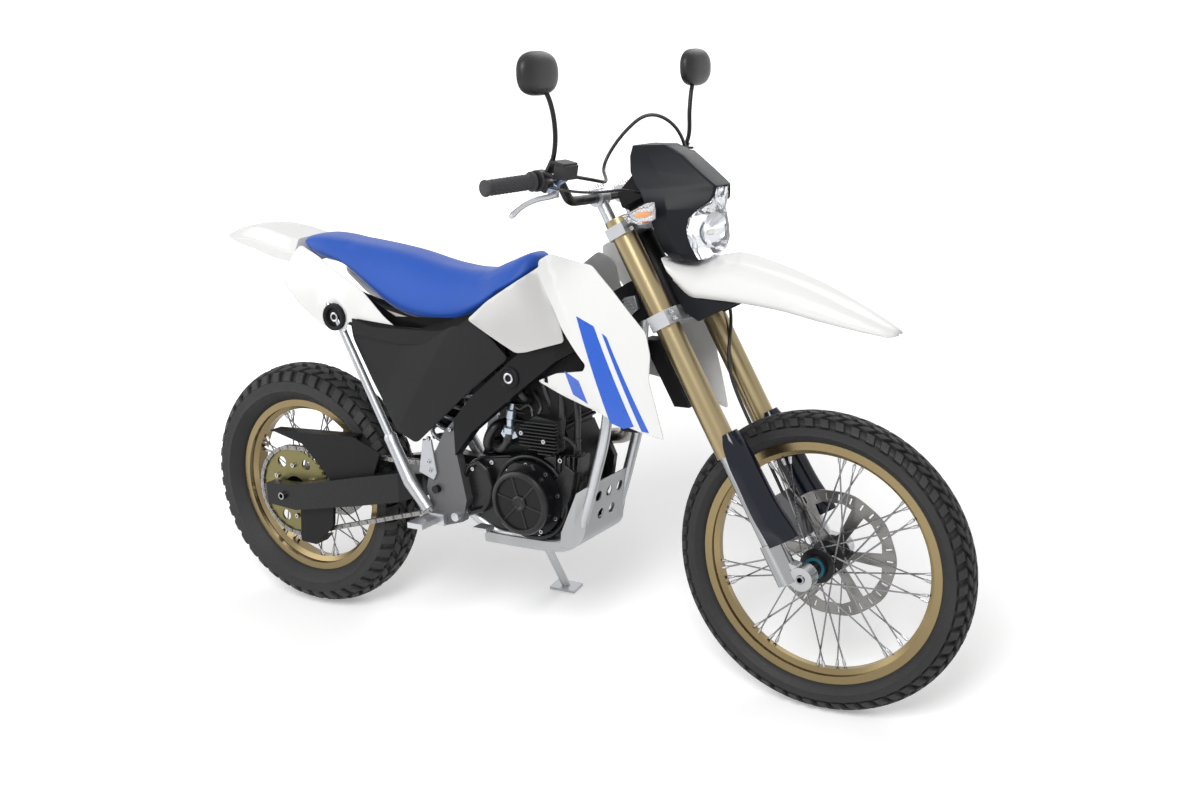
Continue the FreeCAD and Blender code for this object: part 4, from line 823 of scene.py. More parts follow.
def shroud_depth(x, z):
    """Blade that stands out along a crease: it falls back steeply behind it and gently ahead."""
    (x0, z0), (x1, z1) = CREASE
    ahead = ((x - x0) * (z0 - z1) - (z - z0) * (x0 - x1)) / math.hypot(x1 - x0, z1 - z0)
    return blade_depth(x, z) + np.minimum(0.22 * ahead, -0.07 * ahead) + 3


shroud = HEAD + np.array([
    (-284, 133), (-245, 151), (-134, 130), (-80, 79), (3, -11), (14, -60), (10, -115), (28, -190),
    (41, -250), (-40, -226), (-122, -196), (-228, -173), (-307, -151), (-240, -123), (-152, -106),
    (-143, -91), (-172, -61), (-207, -20), (-231, 22), (-284, 102)])
mouldings("white_shrouds", sheet(rounded(shroud, 9), shroud_depth, creases=(CREASE,), spacing=16,
                                 holes=((868, 736, 9),)), WHITE, ["shrouds"])


# --- Intake housing ---
# Matt black moulded housing between the shrouds, in the tank's place, clipped to the frame: a
# crowned top that falls to the steering head.

x, crown, shoulder, shoulder_z, flank, flank_z, sill, sill_z = smooth_rows([
    (600, 800, 40, 795, 60, 780, 50, 700), (700, 850, 44, 845, 70, 820, 60, 640),
    (790, 930, 56, 920, 90, 872, 80, 610), (850, 966, 62, 940, 104, 870, 94, 610),
    (900, 930, 56, 904, 104, 836, 92, 640), (940, 898, 52, 872, 96, 812, 86, 680),
    (975, 892, 50, 864, 92, 800, 80, 700), (990, 862, 44, 838, 80, 780, 70, 710)], 26).T
housing_rings = whole(
    x[:, None],
    -np.column_stack((0 * x, shoulder * 0.55, shoulder, flank - 6, flank, sill)),
    np.column_stack((crown, crown - 3, shoulder_z, (shoulder_z + flank_z) / 2, flank_z, sill_z)))
piece("intake_housing", [closed_loft(housing_rings)], "chassis", MATT_BLACK,
      ["tank"], 40)


# --- Stripes ---
# Blue film on each shroud, cut in two slanted bands and one short block that follow the blade's
# crease and stand proud of it by the film's thickness.

BLUE_FILM = surface("blue_film", (0.006, 0.095, 0.56), 0.28, drift=0.03, grain=40, relief=0.0,
                    coat=0.3, uneven=0.05)
bands = [[(984, 900), (1030, 880), (1124, 660), (1098, 653), (1066, 664)],
         [(1050, 866), (1062, 858), (1160, 648), (1142, 650)],
         [(940, 770), (984, 752), (1006, 700), (962, 716)]]
film = [sheet(rounded(band, 2), shroud_depth, creases=(CREASE,), spacing=16, lift=0.35)
        for band in bands]
piece("shroud_stripes", film + [opposite(band) for band in film], "chassis",
      BLUE_FILM, closed=False)


# --- Headlight cowl ---
# Matt black moulded cowl round the headlight, bolted to the fork clamps: a flat sloping top over
# faceted cheeks that turn in to the lens.

RAKE = math.radians(27.84)


def from_stem(points):
    """Points ahead of the steering axis, to the left and up along it from the lower clamp."""
    ahead, left, up = np.moveaxis(np.asarray(points, float), -1, 0)
    return np.stack((HEAD[0] + ahead * math.cos(RAKE) - up * math.sin(RAKE), left,
                     HEAD[1] + ahead * math.sin(RAKE) + up * math.cos(RAKE)), -1)


def softened(name, parts, paint, nodes, width, body="steering", smooth=26):
    """Faceted piece with narrow rounded edges."""
    eased(piece(name, parts, body, paint, nodes, smooth), width, 20)


# Each level: height, then place and half width at the back, the middle, the edge and inside it.
cowl_levels = np.array([
    (1017, 1170, 58, 1200, 62, 1230, 48, 1222, 42), (1036, 1158, 76, 1195, 80, 1226, 62, 1214, 52),
    (1060, 1148, 84, 1184, 88, 1216, 68, 1200, 58), (1085, 1141, 90, 1180, 92, 1211, 68, 1196, 58),
    (1111, 1135, 94, 1178, 95, 1217, 68, 1200, 58), (1131, 1129, 97, 1178, 95, 1238, 62, 1222, 52),
    (1146, 1124, 99, 1172, 92, 1260, 48, 1246, 38), (1160, 1118, 99, 1168, 86, 1266, 38, 1254, 28),
    (1172, 1112, 98, 1164, 80, 1268, 34, 1260, 22), (1178, 1106, 97, 1160, 78, 1268, 34, 1270, 20),
    (1186, 1100, 96, 1156, 72, 1258, 36, 1261, 20), (1212, 1086, 90, 1138, 60, 1226, 38, 1229, 20),
    (1244, 1078, 76, 1112, 50, 1188, 34, 1191, 18), (1266, 1072, 52, 1096, 38, 1144, 24, 1146, 14)],
    float)
z, back, w0, middle, w1, edge, w2, inner, w3 = cowl_levels.T
cowl_rings = whole(np.column_stack((back - 3, back, middle, edge - 5, edge, inner)),
                   -np.column_stack((w0 * 0.7, w0, w1, w2 + 5, w2, w3)), z[:, None])
COWL_BLACK = surface("cowl_black", (0.008, 0.009, 0.012), 0.42, drift=0.15, grain=1200, relief=0.3,
                     shine=0.17)
softened("headlight_cowl_shell", [closed_loft(cowl_rings)], COWL_BLACK,
         ["headlight_cowl"], 1.6)


# --- Headlight ---
# Tall clear faceted lens, clipped into the cowl over a tray with two bowls, all coated with bright
# metal. A bulb stands in the lower bowl.

def glass(name, colour, rough):
    """Clear moulded plastic, see-through with a little tint and a faint ripple."""
    made = bpy.data.materials.new(name)
    made.use_nodes = True
    tree = made.node_tree
    shader = tree.nodes["Principled BSDF"]
    shader.inputs["Base Color"].default_value = (*colour, 1)
    shader.inputs["Transmission Weight"].default_value = 0.92
    shader.inputs["IOR"].default_value = 1.3
    shader.inputs["Roughness"].default_value = rough
    ripple = node(tree, "TexNoise", Scale=45)
    bump = node(tree, "Bump", Strength=0.06, Distance=0.001)
    tree.links.new(node(tree, "TexCoord").outputs["Object"], ripple.inputs["Vector"])
    tree.links.new(ripple.outputs["Fac"], bump.inputs["Height"])
    tree.links.new(bump.outputs["Normal"], shader.inputs["Normal"])
    return made


def square_to(axis, guide):
    """Two directions square to an axis and to each other, the first also square to the guide."""
    a = np.cross(axis, guide)
    a /= np.linalg.norm(a)
    return a, np.cross(axis, a)


def dish(centre, axis, radius, depth, steps=28, rows=6):
    """Open bowl with its mouth at the centre, facing along the axis: circles whose depth falls off
    with the square of their radius."""
    axis = np.asarray(axis, float) / np.linalg.norm(axis)
    a, b = square_to(axis, (0.2, 0.9, 0.1))
    turn = np.linspace(0, 2 * np.pi, steps, endpoint=False)[:, None]
    share = np.linspace(1, 0.12, rows)[:, None, None]
    points = (np.asarray(centre) - axis * depth * (1 - share ** 2)
              + radius * share * (np.cos(turn) * a + np.sin(turn) * b))
    return points.reshape(-1, 3), (grid_faces(rows, steps, False, True)
                                   + [list(range((rows - 1) * steps, rows * steps))])


z, back, front, half = np.array([
    (1019, 1226, 1240, 44), (1036, 1215, 1262, 58), (1060, 1205, 1270, 64), (1085, 1200, 1269, 64),
    (1111, 1206, 1264, 64), (1131, 1226, 1262, 57), (1146, 1248, 1265, 43), (1160, 1256, 1269, 33),
    (1174, 1260, 1271, 26)], float).T
bulge = 0.3 * (front - back)
lens_rings = whole(
    np.column_stack((back, back + bulge, front - bulge, front - 4, front)),
    np.column_stack((-half, -half - 2, -half * 0.86, -half * 0.5, 0 * half)), z[:, None])
CLEAR = glass("clear_lens", (0.96, 0.98, 1.0), 0.03)
softened("headlight_glass", [closed_loft(lens_rings)], CLEAR, ["headlight_lens"],
         1.0, smooth=40)

bowl_at, bowl_axis = np.array((1240, 0, 1076)), np.array((0.97, 0, 0.1))
z, edge, w, inner, v = cowl_levels[1:9, [0, 5, 6, 7, 8]].T
tray = np.stack(np.broadcast_arrays(
    np.column_stack((edge - 4, inner + 3, inner + 2, inner + 2, inner + 3, edge - 4)),
    np.column_stack((6 - w, 2 - v, -v * 0.4, v * 0.4, v - 2, w - 6)), z[:, None]), -1)
BRIGHT = surface("reflector_chrome", (0.9, 0.9, 0.92), 0.08, metal=1.0, drift=0.02, relief=0.01)
piece("headlight_reflector", [dish(bowl_at, bowl_axis, 44, 30),
                              dish((1258, 0, 1149), bowl_axis, 24, 12),
                              (tray, grid_faces(8, 6))], "steering", BRIGHT,
      closed=False)

BULB = surface("bulb_glass", (0.9, 0.88, 0.8), 0.1, relief=0.01)
bulb_path = bowl_at - bowl_axis * np.array((20, 12, 4, -2, -5))[:, None]
piece("headlight_bulb", [rod(bulb_path, (6, 6.5, 6.5, 5, 1.5), 14)], "steering",
      BULB, smooth=60)


# --- Front mudguard ---
# High white moulded blade with a crown along its middle, turned-down sides and a pointed tip,
# bolted under the lower fork clamp on a black moulded stay.

def blade_rings():
    """Cross-sections of the mudguard, arches from lip to lip: fixed shares of its half width and
    of its height at each place ahead of the clamp."""
    ahead, wide, low, high = (column[:, None] for column in smooth_rows([
        (-8, 66, 138, 142), (6, 69, 112, 140), (34, 72, 84, 138), (66, 74, 60, 136),
        (100, 76, 57, 142), (160, 77, 54, 151), (220, 76, 48, 138), (290, 73, 38, 116),
        (350, 68, 24, 93), (420, 56, 8, 60), (480, 40, -5, 27), (512, 24, -10, 7),
        (520, 12, -8, 1)], 52).T)
    share = np.array((1, 0.985, 0.93, 0.8, 0.62, 0.4, 0.18, 0.06, 0))
    lift = np.array((0, 0.2, 0.42, 0.6, 0.72, 0.8, 0.87, 0.95, 1))
    return whole(HEAD[0] + ahead, -share * wide, HEAD[1] + low + (high - low) * lift)


def stacked(outline, axis, steps, centre=(0, 0, 0)):
    """Loft of a flat outline written about the centre: each step gives its place along the axis
    that the outline lacks, and its scale."""
    outline = np.asarray(outline, float)
    return closed_loft([np.insert(outline * scale, axis, at, axis=1) + centre
                        for at, scale in steps])


arch = blade_rings()
fender = piece("front_mudguard", [(arch, [face[::-1] for face in grid_faces(*arch.shape[:2])])],
               "steering", WHITE, ["front_fender"], 32, closed=False)
walled(fender, 3.5)
stay = np.array(((1156, 996), (1218, 940), (1330, 932), (1236, 886), (1204, 904), (1176, 948)))
middle = stay.mean(axis=0)
softened("mudguard_stay", [
    stacked(stay - middle, 1, [(side * out, scale) for out, scale in (
        (54, 0.96), (58, 1), (69, 1), (71, 0.96))], (middle[0], 0, middle[1]))
    for side in (-1, 1)], COWL_BLACK, [], 1.2)


# --- Turn signals ---
# Clear moulded wedge lenses over a pale coated bowl and an amber bulb, each in a black case on a
# short rubber stem that is bolted to the cowl's bracket.

wedge = np.array(((-32, -3), (-2, 12), (28, 26), (31, 8), (30, -12), (12, -21), (-22, -13)))
signal_at = from_stem((103, 0, 222))
signals, cases, bulbs, bowls = [], [], [], []
for side in (-1, 1):
    for made, steps in (
            (signals, ((128, 0.97), (160, 1), (172, 0.92), (179, 0.7))),
            (cases, ((110, 0.45), (116, 0.7), (127, 0.99), (129, 1.0))),
            (bowls, ((127, 0.9), (130, 0.93), (131, 0.6)))):
        made.append(stacked(wedge, 1, [(side * out, scale) for out, scale in steps], signal_at))
    cases.append(rod([signal_at + (0, side * out, 0) for out in (90, 100, 112)], 8, 14))
    bulbs.append(rod([signal_at + (2, side * out, -1) for out in (130, 138, 150, 156, 160)],
                     (4, 6, 6, 5, 2), 14))
AMBER = surface("amber_bulb", (0.9, 0.30, 0.03), 0.2, drift=0.05, relief=0.02, coat=0.4)
BOWL = surface("signal_bowl", (0.62, 0.63, 0.64), 0.3, metal=0.6, drift=0.05, relief=0.0)
softened("signal_lenses", signals, CLEAR, ["front_indicators"], 1.2, smooth=40)
softened("signal_cases", cases, COWL_BLACK, [], 0.8)
piece("signal_bulbs", bulbs, "steering", AMBER, smooth=60)
piece("signal_bowls", bowls, "steering", BOWL, smooth=40)


# --- Fork guards ---
# Gloss blue-black moulded guards round the front of the lower legs, with a long central ridge,
# bolted to the axle clamps at their lower ends.

FORK_HALF = 107.6


def guard_rings(side):
    """Cross-sections of a guard up its leg: a bulged half round with a narrow ridge in front, and
    the same in reverse inside it, round the tube."""
    rise, front, back, half = (column[:, None] for column in smooth_rows([
        (88, 90, 30, 30), (110, 88, 30, 32.5), (160, 80, 26, 33), (230, 76, 27, 33),
        (300, 73, 30, 32.5), (335, 67, 36, 29), (352, 62, 42, 24)], 36).T)
    angle = np.linspace(-1, 1, 15)
    bulge = np.cos(angle * np.pi / 2) ** 0.62
    swing = np.sin(angle * np.pi / 2)
    ridge = 2.5 * np.exp(-(angle / 0.1) ** 2)
    ahead = np.hstack((back + (front - back) * bulge + ridge,
                       np.maximum(back, 23 + 28.6 * bulge)[:, ::-1]))
    left = side * FORK_HALF + np.hstack((half * swing, ((half - 3) * swing)[:, ::-1]))
    above_clamp = rise - 635.0
    return from_stem(np.stack(np.broadcast_arrays(ahead, left, above_clamp), -1))


GLOSS = surface("gloss_black", (0.003, 0.005, 0.013), 0.11, drift=0.05, relief=0.0, shine=0.34,
                uneven=0.03)
piece("fork_guard_shells", [closed_loft(guard_rings(side)) for side in (-1, 1)], "steering",
      GLOSS, ["fork_guards"], 50)


# --- Grips ---
# Dark grey rubber sleeves pushed over the bar's ends: a flange, a field of small raised lozenges
# and a capped end.

def bar_end(share, left):
    """Point on the straight line of a grip, share 0 at its inner end."""
    inner, outer = from_stem([(16.5, 0, 363), (-24.7, 0, 379)])
    return inner + (outer - inner) * share + (0, left, 0)


def lozenges(start, axis, rows, around, first=9, pitch=4.7, radius=15.5, half=2.0, lift=1.3):
    """Raised lozenges in rows along a sleeve, every second row half a step on: four low corners
    and the same four drawn in and lifted."""
    a, b = square_to(axis, (0, 0, 1))
    row, place = (v.ravel()[:, None] for v in np.meshgrid(np.arange(rows), np.arange(around),
                                                          indexing="ij"))
    angle = 2 * np.pi * (place + 0.5 * (row % 2)) / around
    out = np.cos(angle) * a + np.sin(angle) * b
    spot = (start + axis * (first + row * pitch) + out * radius)[:, None]
    along, beside = np.broadcast_to(axis, out.shape) * half, np.cross(axis, out) * half
    corner = np.stack((along, beside, -along, -beside), 1)
    points = np.concatenate((spot + corner, spot + out[:, None] * lift + corner * 0.6), 1)
    faces = [(4, 5, 6, 7), (0, 1, 5, 4), (1, 2, 6, 5), (2, 3, 7, 6), (3, 0, 4, 7)]
    return points, copied(faces, 8, rows * around)


grips = []
for side in (-1, 1):
    start, end = bar_end(0.03, side * 336), bar_end(1.0, side * 453)
    share = np.array((0, 0.01, 0.045, 0.05, 0.06, 0.5, 0.93, 0.945, 0.96, 0.985, 1.0, 1.003))
    radii = (18.5, 21, 21, 18, 16, 15.6, 16, 17.6, 17.6, 17, 15, 12)
    grips.append(rod(start + (end - start) * share[:, None], radii, 28))
    grips.append(lozenges(start, (end - start) / np.linalg.norm(end - start), 22, 16))
GRIP = surface("grip_rubber", (0.03, 0.03, 0.033), 0.7, drift=0.2, grain=900, relief=0.6)
piece("grip_sleeves", grips, "steering", GRIP, ["grips"], 40)


# --- Mirrors ---
# Thin black steel stems screwed into the lever perches, up to oval black moulded heads with a flat
# glass. The heads have the plain form that is usual on this type of machine.

def flowing(points, count):
    """Smooth path through a few points, evenly resampled."""
    path = np.asarray(points, float)
    return smooth_rows(np.column_stack((distance_run(path), path)), count)[:, 1:]


foot = bar_end(-0.2, 0)
turn = np.linspace(0, 2 * np.pi, 40, endpoint=False)
oval = np.column_stack([np.sign(wave) * np.abs(wave) ** 0.8 * half
                        for wave, half in ((np.cos(turn), 66), (np.sin(turn), 44))])
stems, heads, glasses = [], [], []
for side in (-1, 1):
    route = [(3, 296, 16), (18, 299, 44), (25, 300, 119), (24, 312, 160), (22, 330, 190)]
    socket = np.array((3, 296, 12)) + np.outer((0, 0.2, 0.6, 1), (15, 3, 28))
    stems.append(rod(flowing(foot + np.array(route) * (1, side, 1), 26), 5.2, 12))
    stems.append(rod(foot + socket * (1, side, 1), (9, 9.5, 8, 7), 6))
    middle = foot + (20, side * 345, 216)
    heads.append(stacked(oval * (side, 1), 0, (
        (-8, 0.93), (-8.5, 0.985), (-6, 1.0), (2, 1.0), (8, 0.95), (14, 0.82), (18, 0.6),
        (20, 0.3)), middle))
    glasses.append(stacked(oval * (side, 1), 0, ((-8.2, 0.9), (-9.2, 0.9), (-9.6, 0.88)), middle))
MIRROR_BLACK = surface("mirror_black", (0.013, 0.013, 0.014), 0.42, grain=700, relief=0.3,
                       shine=0.35)
piece("mirror_stems", stems, "steering", BLACK_ALLOY, ["mirrors"], 50)
piece("mirror_heads", heads, "steering", MIRROR_BLACK, smooth=40)
piece("mirror_glasses", glasses, "steering", BRIGHT, smooth=40)


# --- Hand controls ---
# Silver alloy levers in blue-tinted perches clamped to the bar, and black moulded housings beside
# them. The square brake fluid reservoir is on the right, the switch block's buttons on the left.

def softbox(centre, half, turn=0.0, tilt=0.0):
    """Block about a centre with half sizes along, across and up, turned in degrees about its cross
    axis by the tilt and then about its upright axis by the turn."""
    x, y, z = (np.array([(x, y, z) for z in (-1, 1) for x, y in (
        (-1, -1), (1, -1), (1, 1), (-1, 1))]) * half).T
    c, s = math.cos(math.radians(tilt)), math.sin(math.radians(tilt))
    x, z = x * c - z * s, x * s + z * c
    c, s = math.cos(math.radians(turn)), math.sin(math.radians(turn))
    return np.column_stack((x * c - y * s, x * s + y * c, z)) + centre, [
        (3, 2, 1, 0), (4, 5, 6, 7), (0, 1, 5, 4), (1, 2, 6, 5), (2, 3, 7, 6), (3, 0, 4, 7)]


levers, perches, housings = [], [], []
for side in (-1, 1):
    blade = np.array([(1020, 292, 1192), (1032, 312, 1184), (1032, 330, 1180), (1024, 362, 1177),
                      (1015, 400, 1168), (1011, 428, 1156), (1010, 442, 1149)]) * (1, side, 1)
    width = np.interp(np.linspace(0, 1, 40), (0, 0.15, 0.3, 0.8, 0.95, 1), (8, 9, 6, 5.2, 6.5, 5))
    levers.append(rod(flowing(blade, 40), width, 14))
    levers.append(rod([(1026, side * 300, z) for z in (1174, 1176, 1202, 1204)], (6, 8, 8, 6), 6))
    at = bar_end(-0.2, side * 296)
    perches.append(rod([at + (0, side * d, 0) for d in (-11, -10, 10, 11)], (15, 17, 17, 15), 28))
    perches.append(softbox((1018, side * 300, 1199), (15, 9, 8), side * -10, -30))
    perches.append(softbox((1024, side * 309, 1191), (9, 13, 7), side * -24, -20))
    at = bar_end(-0.1, side * 321)
    housings.append(rod([at + (0, side * d, 0) for d in (-14, -12.5, 12.5, 14)],
                        (20, 22.5, 22.5, 20), 32))
    housings.append(softbox(at + (8, 0, -4), (19, 11, 14), 0, -30))
    housings.append(rod([at + (14, side * 3, 14), at + (26, side * 2, 12),
                         at + (36, side * -6, 6)], 4.5, 10))
reservoir = np.array((1055, -301, 1229))
housings.append(softbox(reservoir, (15, 22, 15), -6, -12))
housings.append(softbox(reservoir + (-2, 0, 17), (16.5, 23.5, 3), -6, -12))
perches.append(rod([(1030, -300, 1204), (1046, -300, 1212), (1052, -300, 1216)], (8, 8, 9), 12))
housings += [softbox((1012 + 8 * k, 329, 1236), (3, 5, 3)) for k in (-1, 0, 1)]
housings.append(softbox((996, 320, 1218), (8, 15, 17)))
BLUE_PERCH = surface("perch_blue_silver", (0.30, 0.36, 0.46), 0.3, metal=0.9, drift=0.15)
softened("lever_blades", levers, SILVER_ALLOY, ["controls"], 0.5, smooth=40)
softened("lever_perches", perches, BLUE_PERCH, [], 1.6, smooth=35)
softened("bar_housings", housings, MIRROR_BLACK, [], 2.2, smooth=35)


# --- Brake hose and control cables ---
# Black rubber hose from the reservoir over the bars and down the left leg to the caliper, and two
# thinner sheathed cables from the grips to the stem. All are held, and turn with the fork.

def spline_tube(name, route, radius):
    """Round tube along a smooth curve steered by the route's points, capped at its ends."""
    data = bpy.data.curves.new(name, "CURVE")
    data.dimensions = "3D"
    spline = data.splines.new("NURBS")
    spline.points.add(len(route) - 1)
    spline.points.foreach_set("co", np.insert(stand(route), 3, 1, axis=1).ravel())
    spline.order_u = 3
    spline.use_endpoint_u = True
    spline.resolution_u = 8
    data.bevel_depth = radius / 1000
    data.bevel_resolution = 4
    data.use_fill_caps = True
    data.materials.append(HOSE)
    made = bpy.data.objects.new(name, data)
    bpy.context.scene.collection.objects.link(made)
    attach(made, "steering")


HOSE = surface("hose_rubber", (0.012, 0.012, 0.013), 0.38, drift=0.2, grain=1500, relief=0.4,
               shine=0.5)
over_bars = foot + [(44, -290, 8), (50, -190, -10), (24, -90, -26), (-40, -14, 4), (8, 2, 78),
                    (70, 24, 128), (124, 70, 84), (116, 122, -20)]
down_leg = from_stem([(60, 132, 239), (62, 132, -10), (62, 100, -60), (30, 66, -130),
                      (8, 66, -200), (8, 66, -400)])
spline_tube("brake_hose", np.concatenate((over_bars, down_leg, [(1378, 66, 467.7)])), 4)
for side, name in ((-1, "throttle_cable"), (1, "clutch_cable")):
    route = [(14, 322, -12), (62, 322, -22), (80, 220, -34), (84, 110, -34), (116, 46, -60)]
    spline_tube(name, foot + np.array(route) * (1, side, 1), 3)


# --- Cover, clamp and sprocket bolts ---
# Round-headed steel bolts with a six-sided socket: round the engine's two covers, in the fork
# clamps and handlebar clamps, and through the rear sprocket into its hub.

def bolt(place, axis, radius, height):
    """Chamfered head with a six-sided socket, seated on a point and standing up along the axis:
    rings of twelve points, the inner two drawn to a hexagon."""
    axis = np.asarray(axis, float) / np.linalg.norm(axis)
    a, b = square_to(axis, (0.3, 0.2, 0.9) if abs(axis[2]) < 0.8 else (1, 0, 0))
    turn = np.linspace(0, 2 * np.pi, 12, endpoint=False)[:, None]
    hexagon = 0.52 / np.where(np.arange(12) % 2, 1.0, 0.93)[:, None]
    return closed_loft([place + axis * height * up
                        + radius * reach * (np.cos(turn) * a + np.sin(turn) * b)
                        for reach, up in ((1.0, -0.4), (1.0, 0.6), (0.86, 1.0), (hexagon, 1.0),
                                          (hexagon, 0.35))])


RIGHT, LEFT = (0, -1, 0), (0, 1, 0)
CRANK = np.array((796, 0, 434))
BOLT_STEEL = surface("bolt_steel", (0.5, 0.5, 0.52), 0.26, metal=1.0, drift=0.2)
cover_bolts, clamp_bolts, sprocket_bolts = [], [], []
for angle in 2 * math.pi * (np.arange(9) + 0.3) / 9:
    for aim, out, reach in ((RIGHT, -118, 85), (LEFT, 110, 90)):
        place = CRANK + (reach * math.cos(angle), out, reach * math.sin(angle))
        cover_bolts.append(bolt(place, aim, 5.5, 5))
for rise in (-8, 8, 208, 224):
    for side in (-1, 1):
        clamp_bolts.append(bolt(from_stem((60, side * FORK_HALF - 17, rise)), RIGHT, 5.5, 5))
for side in (-1, 1):
    for ahead in (-13, 13):
        for left in (side * 55 - 11, side * 55 + 11):
            clamp_bolts.append(bolt(from_stem((ahead - 23, left, 338)),
                                    (math.sin(-RAKE), 0, math.cos(RAKE)), 4.5, 5))
for angle in 2 * math.pi * (np.arange(6) + 0.5) / 6:
    place = REAR_AXLE + (72 * math.cos(angle), -88, 72 * math.sin(angle))
    sprocket_bolts.append(bolt(place, RIGHT, 7, 6))
piece("engine_bolts", cover_bolts, "chassis", BOLT_STEEL, smooth=40)
piece("clamp_bolts", clamp_bolts, "steering", BOLT_STEEL, smooth=40)
piece("sprocket_bolts", sprocket_bolts, "rear_wheel", BOLT_STEEL, smooth=40)


# --- Rear struts and frame bosses ---
# Silver alloy struts in two stages from the tail to the footrest plates, each hung on a black
# rubber-ringed boss with a bright washer. A second boss covers the engine's upper mount.

MOUNT = (773, 0, 734)
bosses, washers, struts = [], [], []
for side in (-1, 1):
    for made, at, profile in (
            (bosses, (BOSS[0], 0, BOSS[1]), ((96, 4), (96, 24), (126, 30), (140, 35), (149, 34),
                                             (151, 30), (148, 24), (141, 22), (141, 1))),
            (washers, (BOSS[0], 0, BOSS[1]), ((140, 12), (146, 12), (147, 10), (146, 7.5),
                                              (140, 7))),
            (bosses, MOUNT, ((138, 1), (138, 25), (147, 27), (149, 24), (146, 21), (144, 1))),
            (washers, MOUNT, ((143, 13), (149, 13), (150, 11), (149, 8.5), (143, 8)))):
        made.append(lathe(np.array(profile) * (side, 1), at, 40))
    upper = [(246, 133, 838), (262, 134, 802), (393, 140, 551), (396, 140, 545)]
    lower = [(391, 140, 557), (394, 140, 550), (402, 141, 533), (455, 147, 440), (512, 153, 378)]
    struts.append(rod(np.array(upper) * (1, side, 1), (11, 10, 11, 11), 16))
    struts.append(rod(np.array(lower) * (1, side, 1), (13, 17, 16, 18, 15), 16))
STRUT = surface("strut_silver", (0.42, 0.43, 0.45), 0.34, metal=0.8, grain=500, relief=0.1)
piece("strut_bosses", bosses, "chassis", BLACK_PLASTIC, smooth=30)
piece("boss_rings", washers, "chassis", BOLT_STEEL, smooth=30)
piece("rear_struts", struts, "chassis", STRUT, ["frame_stays"], smooth=40)


# --- Heel plates ---
# Pressed silver plates screwed to the frame above each footrest, which keep the rider's heels off
# the swingarm.

def plate(outline, side, steps):
    """Prism of a side-view outline: each step gives how far out it is and how much it is drawn in
    towards the outline's middle."""
    outline = np.asarray(outline, float)
    middle = outline.mean(axis=0)
    reach = np.linalg.norm(outline - middle, axis=1).mean()
    return stacked(outline - middle, 1, [(side * out, 1 - drawn / reach) for out, drawn in steps],
                   (middle[0], 0, middle[1]))


heel = [(500, 556), (526, 556), (538, 472), (528, 452), (482, 468)]
softened("heel_plates", [plate(heel, side, ((138, 0), (142, 0), (144, 2))) for side in (-1, 1)],
         STRUT, [], 0.8, body="chassis")


# --- Trays under the seat ---
# Matt black moulded strips, clipped to the subframe, that close the gap between the seat's lower
# edge and the covers: an inner one along the seat and an outer one over the side panel.

inner_tray = [(140, 985), (232, 905), (330, 852), (430, 826), (545, 822), (640, 838), (700, 862),
              (700, 806), (545, 776), (430, 780), (300, 812), (200, 868), (130, 940)]
outer_tray = [(290, 846), (362, 828), (442, 828), (560, 831), (618, 842), (690, 886), (690, 850),
              (600, 800), (440, 790), (300, 806)]
piece("seat_trays", [plate(outline, side, steps) for side in (-1, 1) for outline, steps in (
    (inner_tray, ((104, 0), (110, 0))), (outer_tray, ((136, 0), (140, 0))))],
      "chassis", MATT_BLACK)


# --- Head gussets ---
# Silver plates welded to the frame on each side of the steering head, stiffened by five raised ribs
# that slant up to the front.

gussets = []
for side in (-1, 1):
    gussets.append(plate([(1000, 903), (1036, 925), (1068, 932), (1076, 902), (1036, 868)], side,
                         ((46, 0), (54, 0), (56, 2))))
    for k in range(5):
        start = np.array((1006 + k * 5.5, side * 57, 899 - k * 6.4))
        gussets.append(rod([start, start + (32, 0, 21), start + (44, 0, 25)], 2.2, 8))
softened("head_gussets", gussets, STRUT, [], 0.6, body="chassis")


# --- Engine covers ---
# Black painted castings bolted to the crankcase: a flanged cover on each side, the round clutch
# cover with six ribs and two raised rings, a breather box, and the pocketed sprocket cover.

CAST = surface("cast_black", (0.008, 0.008, 0.009), 0.3, drift=0.2, grain=500, relief=0.5,
               shine=0.35)
side_cover = [(598, 480), (612, 500), (640, 516), (728, 530), (761, 514), (808, 529), (861, 549),
              (912, 551), (931, 510), (920, 452), (886, 385), (830, 344), (760, 336), (690, 336),
              (630, 352), (602, 385)]
breather = [(716, 474), (742, 512), (760, 522), (812, 522), (822, 500), (790, 458)]
pump = [(838, 420), (862, 480), (900, 528), (924, 512), (912, 452), (884, 392)]
castings = [plate(side_cover, -1, ((60, 0), (92, 0), (98, 2), (98, 9), (103, 11), (104, 16))),
            plate(side_cover, 1, ((60, 0), (76, 0), (82, 4))),
            plate(breather, -1, ((98, 0), (120, 0), (124, 5))),
            plate(pump, -1, ((98, 0), (112, 0), (115, 5)))]
for profile, steps in (
        (((-98, 108), (-112, 106), (-114, 102), (-112, 97), (-98, 96)), 72),
        (((-158, 80), (-163, 78), (-167, 71), (-167, 66), (-158, 63)), 72),
        (((-158, 20), (-164, 19), (-167, 14), (-164, 9), (-163, 1)), 40)):
    castings.append(lathe(profile, CRANK, steps))
for k in range(6):
    aim = np.array((math.cos(1.85 + k * np.pi / 3), 0, math.sin(1.85 + k * np.pi / 3)))
    castings.append(rod(CRANK + (0, -160, 0) + np.outer((14, 30, 66), aim), (3.4, 3, 3.4), 8))
for k in range(6):
    x, foot_z = 864 + k * 13, 488 + 5 * k
    castings.append(plate([(x, foot_z), (x + 4, foot_z), (x + 8, 548), (x + 4, 550)], -1,
                          ((60, 0), (108, 0), (109, 0.8))))
softened("engine_castings", castings, CAST, [], 1.4, body="chassis", smooth=35)
